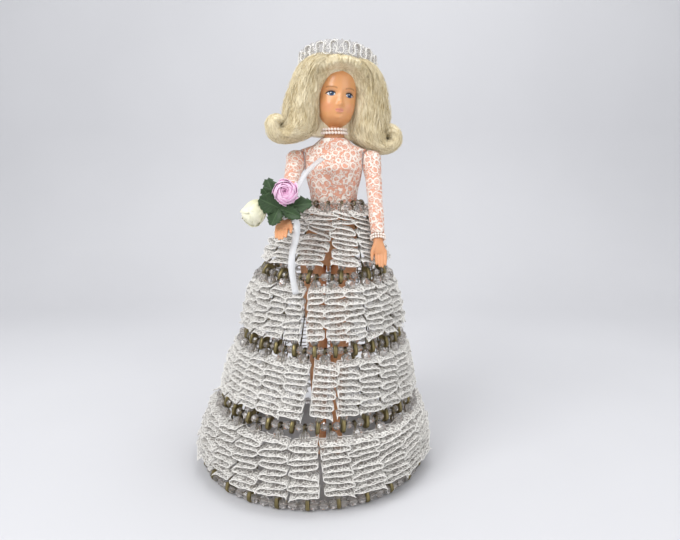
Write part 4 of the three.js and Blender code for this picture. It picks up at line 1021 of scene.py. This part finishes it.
# The back mass from its root down: z, half the width, and its depth to the front and to the back.
BACK_HAIR = [
    (44, 12, 4, 12), (38, 19, 4, 18), (30, 23, 4, 19.5), (20, 25, 4, 20), (10, 26, 4, 21), (2, 26, 4, 21),
    (-4, 24, 4, 21.5), (-8.5, 21, 3, 21), (-10, 19, 2, 19),
]
HAIRLINE = [(0, 34.0), (7.5, 31.0), (12.0, 22.5), (12.9, 12)]
WAVE, CRIMP = 44, 95


def smooth_at(table, place):
    """The row of a table at any place between its rows, on a smooth curve through them."""
    k = min(int(place), len(table) - 2)
    t = place - k
    p0, p1, p2, p3 = [Vector(table[min(max(i, 0), len(table) - 1)]) for i in (k - 1, k, k + 1, k + 2)]
    curve = (p2 - p0) * t + (2 * p0 - 5 * p1 + 4 * p2 - p3) * t ** 2 + (3 * p1 - p0 - 3 * p2 + p3) * t ** 3
    return p1 + 0.5 * curve


def side_point(side, t, u, v):
    """A point of a side mass: t from root to tip, u from its inner to its outer edge, v in depth."""
    inner_x, inner_z, outer_x, outer_z, front_depth, back_depth = smooth_at(SIDE_HAIR, t * 16)
    outer_x *= 1 + 0.055 * side * sin(pi * min(t / 0.58, 1))
    x = (inner_x + outer_x) / 2 + (outer_x - inner_x) / 2 * u
    z = (inner_z + outer_z) / 2 + (outer_z - inner_z) / 2 * u
    if side < 0:
        x -= max(x - 36, 0) * 0.24
        z -= max(z + 6, 0) * 0.26 * min(max((t - 0.58) / 0.15, 0), 1)
    return Vector((side * x, (front_depth if v < 0 else back_depth) * v, z))


def back_point(t, u, v):
    z, half, front_depth, back_depth = smooth_at(BACK_HAIR, t * 8)
    return Vector((half * u, (front_depth if v < 0 else back_depth) * v, z))


def front_at(sections, x, z):
    """How far in front a point on a loft's front lies."""
    section = section_at(sections, z)
    return -section.front * sqrt(max(1 - (x / section.half) ** 2, 0.02))


def mass(name, node, point, shrink, steps):
    """The fuller mass under the locks of a part of the hair."""
    bm = bmesh.new()
    rings = []
    for k in range(1, steps):
        size = shrink * (0.80 + 0.20 * min(1, 5 * k / steps))
        rings.append(ring(bm, 28, lambda u, v: point(k / steps, u * size, v * size)))
    skin(bm, rings)
    bmesh.ops.recalc_face_normals(bm, faces=bm.faces)
    piece(name, bm, hair, "head", [node], head_matrix, rounded=True)


def fibres(name, lines, radius):
    """Thin fibres that taper to both ends, through points in the head's own place."""
    lines = [[head_matrix @ p for p in line] for line in lines]
    wires(name, lines, radius, hair, "head",
          taper=lambda t: min(1.0, 5 * t + 0.4) * min(1.0, 5 * (1.01 - t) + 0.12))


def locks(point, side, clumps, strands, seed, spread, reach, wave, around=(0, tau), points=34):
    """Lines of single fibres in locks that wave together and draw in towards their tips."""
    random.seed(seed)
    lines = []
    for clump_number in range(clumps):
        turn = tau * (clump_number + random.random()) / clumps
        if not around[0] <= turn <= around[1]:
            continue
        size = random.uniform(*spread)
        end = random.uniform(*reach)
        phase, drift = random.uniform(0, 6.28), random.gauss(0, 0.16)
        strength = wave * random.uniform(0.6, 1.3)
        for _ in range(strands):
            aside, deeper = random.gauss(0, 0.15), random.gauss(0, 0.035)
            own_end = end * random.uniform(0.93, 1.0)
            crimp = random.uniform(0, 6.28)
            start = random.uniform(0, 0.05)
            line = []
            for k in range(points):
                t = start + (own_end - start) * k / (points - 1)
                loose = 1 - 0.55 * t
                angle = turn + aside * loose + drift * t
                depth = size + deeper * loose
                p = point(t, cos(angle) * depth, sin(angle) * depth)
                grow = min(1.0, t * 3.0)
                swing = sin(t * WAVE + phase) * strength * grow
                ripple = sin(t * CRIMP + crimp) * 0.20
                p.x += (swing * 0.9 + ripple) * cos(angle)
                p.y += (swing * 0.8 + ripple) * sin(angle)
                p.z += cos(t * WAVE + phase) * strength * 0.5 * grow * side
                line.append(p)
            lines.append(line)
    return lines


for name, side in SIDES.items():

    def point(t, u, v):
        return side_point(side, t, u, v)

    mass(f"hair_{name}_mass", f"hair_{name}", point, 0.88, 42)
    fibres(f"hair_{name}_locks", locks(point, side, 56, 9, 31 + side, (0.89, 1.04), (0.86, 1.0), 1.05), 0.27)
    fibres(f"hair_{name}_loose", locks(point, side, 170, 2, 51 + side, (0.98, 1.17), (0.7, 1.0), 1.7), 0.12)
    random.seed(71 + side)
    lines = []
    for _ in range(300):
        h = 3 * random.random() ** 0.8
        root_x, root_z = smooth_at(HAIRLINE, min(h, 2.999))
        root = Vector((side * root_x, front_at(SKULL, root_x, root_z) + 0.2, root_z))
        u = min(max(0.80 - 0.58 * h + random.gauss(0, 0.14), -0.97), 0.97)
        v = -sqrt(1 - u * u) * random.uniform(0.97, 1.07)
        start = (1.7 + 1.12 * h) / 16
        end = random.uniform(0.82, 1.0)
        phase, crimp = h * 3 + random.uniform(-0.6, 0.6), random.uniform(0, 6.28)
        strength = random.uniform(0.5, 1.35)
        line = []
        for k in range(34):
            s = k / 33
            t = start + (end - start) * s
            swing = sin(t * WAVE + phase) * strength * min(1.0, s * 4)
            p = point(t, u, v)
            p += Vector((swing * 0.5, 0.7 * swing + 0.2 * sin(t * CRIMP + crimp), swing * 0.35))
            lift = sin(pi * min(s / 0.16, 1.0))
            p = root.lerp(p, eased(min(s / 0.14, 1.0)))
            line.append(p + Vector((side * 0.4 * lift, -1.5 * lift, 0.8 * lift)))
        lines.append(line)
    fibres(f"hair_{name}_front", lines, 0.25)

mass("hair_back_mass", "hair_back", back_point, 0.9, 24)
lines = locks(back_point, 1, 90, 7, 77, (0.9, 1.02), (0.93, 1.0), 0.6, (0.05, pi - 0.05), 26)
fibres("hair_back_locks", lines, 0.28)

bm = bmesh.new()
levels = [10.5, 14, 18, 22, 26, 29, 31, 33, 35, 37, 39, 41, 42.6, 43.8, 44.6]
loft(bm, [section_at(grown(CROWN, -1.1), z) for z in levels], 64)
over_face = [
    v for v in bm.verts if v.co.y < -3 and v.co.z < 38.5 - 0.02 * v.co.x ** 2 and abs(v.co.x) < 16
]
bmesh.ops.delete(bm, geom=over_face, context="VERTS")
piece("hair_crown_mass", bm, hair, "head", ["hair_crown"], head_matrix, rounded=True)

random.seed(91)
lines = []
for _ in range(330):
    x = random.uniform(-13, 13)
    root_z = 34.0 - 0.052 * x * x
    root_y = front_at(SKULL, x, root_z) + 0.2
    fan, crimp = random.uniform(0.75, 1.15), random.uniform(0, 6.28)
    puff = random.uniform(0.4, 2.6)
    line = []
    for k in range(20):
        s = k / 19
        px = x * (1 + fan * s)
        top_z = 46.0 + random.uniform(-0.05, 0.05) - 0.08 * abs(px)
        pz = root_z + (top_z - root_z) * sin(s * 1.45)
        surface = front_at(CROWN, px, min(pz, CROWN_TOP)) - puff * sin(pi * min(0.15 + s, 1)) * 0.8 - 0.9
        py = root_y + (surface - root_y) * eased(min(s / 0.3, 1.0))
        ripple = 0.35 * sin(s * 17 + crimp)
        line.append(Vector((px + ripple, py + 0.5 * ripple, pz + 0.3 * ripple)))
    lines.append(line)
fibres("hair_top_locks", lines, 0.25)
lines = []
for _ in range(560):
    angle = random.uniform(0, tau)
    lowest = 41.5 if sin(angle) < -0.55 else random.uniform(10, 20)
    if sin(angle) > 0.3:
        lowest = random.uniform(-9, 8)
    crimp, grow = random.uniform(0, 6.28), random.uniform(-0.3, 0.8)
    line = []
    for k in range(24):
        s = k / 23
        z = CROWN_TOP + (lowest - CROWN_TOP) * s ** 1.6
        section = section_at(CROWN, max(z, 9))
        own = angle + 0.05 * sin(s * 16 + crimp)
        swing = grow + 0.4 * sin(s * 21 + crimp)
        spread = min(1.0, 5 * s)
        x = (section.half + swing) * cos(own) * spread
        y = (section.depth(sin(angle)) + swing) * sin(own) * spread
        line.append(Vector((x, y, z + 0.7 * (1 - spread))))
    lines.append(line)
fibres("hair_crown_locks", lines, 0.27)


# Headpiece
# A strip of the same net, gathered up and down on a satin band, stands round the crown, and a
# plainer strip with a wavy edge backs it.
satin = Finish("white satin", Roughness=0.33, Sheen_Weight=0.3, Anisotropic=0.5)
weave = satin.noise(satin.stretched(satin.place(), (1, 1, 0.2)), 2600.0, 1.0)
satin.tones(weave, (0.68, 0.69, 0.70), (0.84, 0.84, 0.85))
satin.bump(weave, 0.00008, 0.5)
RUFFLE_TILT = radians(20)
RUFFLE_RISE = 34.5
RUFFLE_PASSES = 32
rise_way = Vector((0, sin(RUFFLE_TILT), cos(RUFFLE_TILT)))


def crown_point(angle, up):
    """A point on the hair, round the line where the headpiece sits, and up from that line."""
    height = RUFFLE_RISE
    for _ in range(4):
        depth = section_at(CROWN, height).depth(sin(angle))
        height = RUFFLE_RISE - tan(RUFFLE_TILT) * depth * sin(angle)
    section = section_at(CROWN, min(height + up, CROWN_TOP))
    return Vector((section.half * cos(angle), section.depth(sin(angle)) * sin(angle), height + up))


def outward(p, by):
    return p + Vector((p.x, p.y, 0)).normalized() * by


bm = bmesh.new()
rings = [
    ring(bm, 64, lambda a, b: outward(crown_point(atan2(b, a), up), by))
    for up, by in ((-1.5, 0.8), (-1.5, 1.6), (1.5, 1.6), (1.5, 0.8))
]
skin(bm, rings + rings[:1], capped=False)
bmesh.ops.recalc_face_normals(bm, faces=bm.faces)
piece("headpiece_satin_band", bm, satin, "head", ["headpiece_band"], head_matrix)

random.seed(15)
ruffle_seeds = [random.uniform(-1, 1) for _ in range(RUFFLE_PASSES + 2)]


def ruffle_point(t, depth):
    progress, swing = candy(t, 0.25)
    k = int(min(max(t, 0), RUFFLE_PASSES))
    wobble = between(ruffle_seeds, k, t - k)
    foot = crown_point(-pi / 2 + tau * progress / RUFFLE_PASSES, 1.5)
    up = 5.6 + 4.5 * swing + 0.6 * wobble * swing
    return head_matrix @ (outward(foot, 0.7 + 2.9 * depth + 0.4 * wobble * depth) + rise_way * up)


bm = bmesh.new()
net_strip(bm, RUFFLE_PASSES, ruffle_point, (0.0119, 0.0045))
ruffle = piece("headpiece_net", bm, net, "head", ["headpiece_ruffle"])
edges = [[ruffle_point(RUFFLE_PASSES * k / 520, depth) for k in range(521)] for depth in (1.0, 0.0)]
ruffle_cords = wires("headpiece_cords", edges, 0.24, cord, "head")
worked = [worked_rings(RUFFLE_PASSES, ruffle_point, 5)]
ruffle_rings = wires("headpiece_rings", worked, 0.18, cord, "head")
bm = bmesh.new()
uv_layer = bm.loops.layers.uv.verify()
rings = []
for up, by in ((0.2, 1.3), (3.5, 1.6), (7, 1.9), (9.6, 2.1), (11.4, 2.3)):

    def backing_point(a, b):
        angle = atan2(b, a)
        scallop = (0.5 * cos(26 * angle) + 0.35 * sin(47 * angle)) * up / 10
        return outward(crown_point(angle, 1.5), by) + rise_way * (up + scallop)

    rings.append(ring(bm, 96, backing_point))
skin(bm, rings, capped=False)
for corner in [c for f in bm.faces for c in f.loops]:
    p = corner.vert.co
    corner[uv_layer].uv = (atan2(p.y, p.x) * 0.02, p.z * 0.001)
backing = piece("headpiece_backing", bm, net, "head", at=head_matrix)


# Bouquet
# Two cloth roses and toothed cloth leaves on wires, held on the back of the right hand. Each
# petal is a cupped shell round the flower's middle, and overlaps its neighbour.
def petal_finish(name, deep, pale, heart):
    finish = Finish(name, Roughness=0.75, Sheen_Weight=0.25)
    inward, upward, _ = finish.axes(finish.uv())
    # Painted shade: each petal darkens from its rim towards its base, deep in the flower, and the inner
    # layers turn towards the heart colour; random mottling lies over it.
    shade_along_petal = upward * 0.8 + finish.noise(finish.place(), 420.0) * 0.3
    tone = finish.blend(shade_along_petal.rise(0.25, 1.0), deep, pale)
    finish.tones(inward.rise(0.35, 1.0) * 0.75, tone, heart)
    finish.bump(finish.noise(finish.place(), 1400.0), 0.0001, 0.5)
    return finish


pink = petal_finish("pink petal", (0.76, 0.38, 0.60), (0.90, 0.62, 0.80), (0.56, 0.14, 0.36))
cream = petal_finish("cream petal", (0.62, 0.60, 0.37), (0.86, 0.84, 0.66), (0.70, 0.67, 0.42))
leaf = Finish("green leaf", Roughness=0.55, Sheen_Weight=0.1)
leaf_u, leaf_v, _ = leaf.axes(leaf.uv())
from_rib = (leaf_v - 0.5).absolute()
rib = from_rib.rise(0.05, 0.015)
side_rib = leaf.math("PINGPONG", leaf_u * 7 - from_rib * 4, 0.5).rise(0.12, 0.02)
leaf_tone = leaf.blend(leaf.noise(leaf.place(), 300.0), (0.011, 0.033, 0.009), (0.038, 0.088, 0.022))
leaf.tones(rib.most(side_rib * 0.5) * 0.45, leaf_tone, (0.11, 0.20, 0.08))
leaf.bump(rib.most(side_rib), 0.0002, -0.6)

RIGHT = arm_matrix("right")
wrist_point = Vector((arm_x(-1, -WRIST_DROP), 0, -WRIST_DROP))


def from_wrist(x, y, z):
    return RIGHT @ (wrist_point + Vector((x, y, z)))


knot = from_wrist(3.2, -4.5, -1.4)
fork = from_wrist(-3, -9.5, -0.5)
pink_centre = from_wrist(1.3, -18.8, 3.1)
cream_centre = from_wrist(-18.4, -7.4, -3.2)


def rose(name, node, centre, facing, radius, stretch, layers, finish, seed):
    """Layers from the outside in: size, angle of the rim from the axis, petals, half width."""
    random.seed(seed)
    bm = bmesh.new()
    for layer, (size, rim, count, half_width) in enumerate(layers):
        for i in range(count):
            around = 360 * (i + 0.37 * layer) / count + random.uniform(-7, 7)
            own_size = size * random.uniform(0.96, 1.04)

            def petal_point(a, up):
                across = 2 * a - 1
                rim_here = rim * (1 + 0.42 * abs(across) ** 3)
                polar = radians(168 + (rim_here - 168) * up)
                azimuth = radians(around + across * half_width * (0.30 + 0.70 * sin(1.9 * up)))
                curl = max(up - 0.78, 0) / 0.22
                ruck = 0.03 * sin(3.1 * across + 9 * up + around) * up
                shell = radius * own_size * (1 + 0.07 * across + 0.13 * curl ** 2 + ruck)
                rise = shell * cos(polar) * stretch - 0.05 * curl * radius
                return shell * sin(polar) * cos(azimuth), shell * sin(polar) * sin(azimuth), rise

            woven(bm, 9, 9, petal_point, lambda a, b: (layer / (len(layers) - 1), b))
    turn = Vector(facing).normalized().to_track_quat("Z", "Y").to_matrix().to_4x4()
    flower = piece(name, bm, finish, "right_arm", [node], Matrix.Translation(centre) @ turn)
    thicken(flower, 0.22)


OPEN_ROSE = [
    (1.0, 62, 5, 52), (0.96, 47, 5, 50), (0.90, 35, 4, 58), (0.82, 25, 4, 60), (0.72, 16, 3, 72),
    (0.62, 8, 3, 75), (0.52, 2, 2, 95),
]
BUD = [(1.0, 58, 4, 56), (0.94, 38, 4, 58), (0.87, 24, 3, 70), (0.80, 12, 3, 75), (0.72, 3, 2, 95)]
rose("pink_rose", "rose_pink", pink_centre, (0.05, -1, 0.22), 7.3, 0.92, OPEN_ROSE, pink, 8)
rose("cream_rose", "rose_cream", cream_centre, (-0.55, -0.35, -0.76), 7.0, 1.24, BUD, cream, 9)


def leaf_blade(bm, root, tip, facing, width):
    """A leaf from its root to its tip, with a toothed rim, folded along its middle rib."""
    along = tip - root
    across = along.cross(facing).normalized()
    outwards = across.cross(along).normalized()

    def leaf_point(t, b):
        side = 2 * b - 1
        wide = width / 2 * (sin(pi * min(t * 0.93 + 0.04, 1)) ** 0.7 + 0.05)
        tooth = 1 + (0.34 * (1 - (t * 6) % 1) - 0.17) * side ** 2
        lift = abs(side) * wide * 0.22 + 0.5 * sin(9 * t + side) * abs(side)
        return root + along * (t + 0.04 * abs(side)) + across * side * wide * tooth + outwards * lift

    woven(bm, 36, 6, leaf_point)


bm = bmesh.new()
for tip, facing, width in [
    ((-10.5, -20.7, 13.5), (-0.3, -1, 0.3), 11),
    ((17.0, -13.1, -0.4), (0.2, -1, 0.35), 10.5),
    ((-7.4, -5.2, -11.5), (-0.2, -1, -0.3), 8.5),
    ((-14.5, -17.5, -1), (-0.4, -1, 0.3), 12),
    ((10.5, -9.0, -8.0), (0.2, -1, -0.2), 7.5),
    ((-13.0, -18.5, 7.5), (-0.5, -1, 0.2), 9),
]:
    leaf_blade(bm, fork, from_wrist(*tip), Vector(facing), width)
thicken(piece("leaves", bm, leaf, "right_arm", ["leaf_spray"]), 0.35)
stems = [
    [knot, knot.lerp(fork, 0.5), fork],
    [fork, fork.lerp(pink_centre, 0.55)],
    [fork, fork.lerp(cream_centre, 0.6)],
]
wires("stems", stems, 0.8, leaf, "right_arm")


# Ribbons
# White satin ribbon: a tie round the wrist, a narrow end that leads up to the shoulder, and a
# wider end that hangs from the knot.
def smooth_line(points):
    """A smooth line through a few points, with five steps from each to the next."""
    return [smooth_at(points, k / 5) for k in range(5 * (len(points) - 1) + 1)]


def ribbon(name, node, points, ways, width, body, finish):
    """A flat ribbon along a line, with its width turned the given way at each point."""
    last = len(points) - 1

    def ribbon_point(a, b):
        k = round(a * last)
        line = (points[min(k + 1, last)] - points[max(k - 1, 0)]).normalized()
        way = (ways[k] - line * ways[k].dot(line)).normalized()
        return points[k] + way * (b - 0.5) * width

    bm = bmesh.new()
    woven(bm, last, 2, ribbon_point)
    obj = piece(name, bm, finish, body, [node])
    thicken(obj, 0.3)
    path = [tuple(p * MM) for p in points]
    length = sum((b - a).length for a, b in zip(points, points[1:])) * MM
    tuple(path[0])


tail_start = from_wrist(5.4, -6.4, -3.6)
fall = [(0, 0, 0), (2.8, -0.6, -6), (1.8, -1.2, -14), (-0.6, -1.8, -25), (-0.8, -2.1, -36), (1.5, -2.2, -50)]
tail_line = smooth_line([tail_start + Vector(p) for p in fall])
twists = [0.15 + 0.5 * sin(k * 0.35) for k in range(len(tail_line))]
tail_ways = [Vector((cos(twist), sin(twist), 0)) for twist in twists]
ribbon("hanging_ribbon", "ribbon_tail", tail_line, tail_ways, 4.3, "ribbon", satin)

sheer = Finish("sheer ribbon", Roughness=0.4, Sheen_Weight=0.3)
ribbing = sheer.noise(sheer.stretched(sheer.uv(), (3, 40, 1)), 1.0)
sheer.tones(ribbing, (0.62, 0.63, 0.65), (0.82, 0.82, 0.84))
sheer.set("Alpha", ribbing * 0.35 + 0.45)
upper = [(3.4, -4.9, -0.4), (4.6, -7.8, 7), (8.4, -13.4, 16), (14, -15.6, 29), (23.3, -13.9, 45)]
upper_line = smooth_line([from_wrist(*p) for p in upper])
upper_ways = [RIGHT.to_3x3() @ Vector((0.85, 0.1, -0.5))] * len(upper_line)
ribbon("shoulder_ribbon", "ribbon_tail_upper", upper_line, upper_ways, 3.6, "right_arm", sheer)

bm = bmesh.new()
band = [(-2.6, 4.75, 3.5, 3.4), (-1.3, 4.6, 3.75, 3.7), (-0.1, 4.45, 4.2, 4.2)]
loft(bm, [Section(-WRIST_DROP + z, *size, wrist_point.x) for z, *size in band], 24, capped=False)
bmesh.ops.transform(bm, matrix=RIGHT, verts=bm.verts)
for degrees, length in ((35, 5.5), (150, 5.0), (-10, 3.6)):
    turn = Matrix.Translation(knot) @ Matrix.Rotation(radians(degrees), 4, "Y")
    for v in bmesh.ops.create_grid(bm, x_segments=14, y_segments=2, size=1.0)["verts"]:
        way = tau * ((v.co.x + 1) / 2)
        v.co = turn @ Vector((length * (1 - cos(way)) / 2, 1.1 * sin(way), v.co.y * 1.3))
thicken(piece("wrist_tie", bm, satin, "right_arm", ["ribbon_tie"]), 0.3)
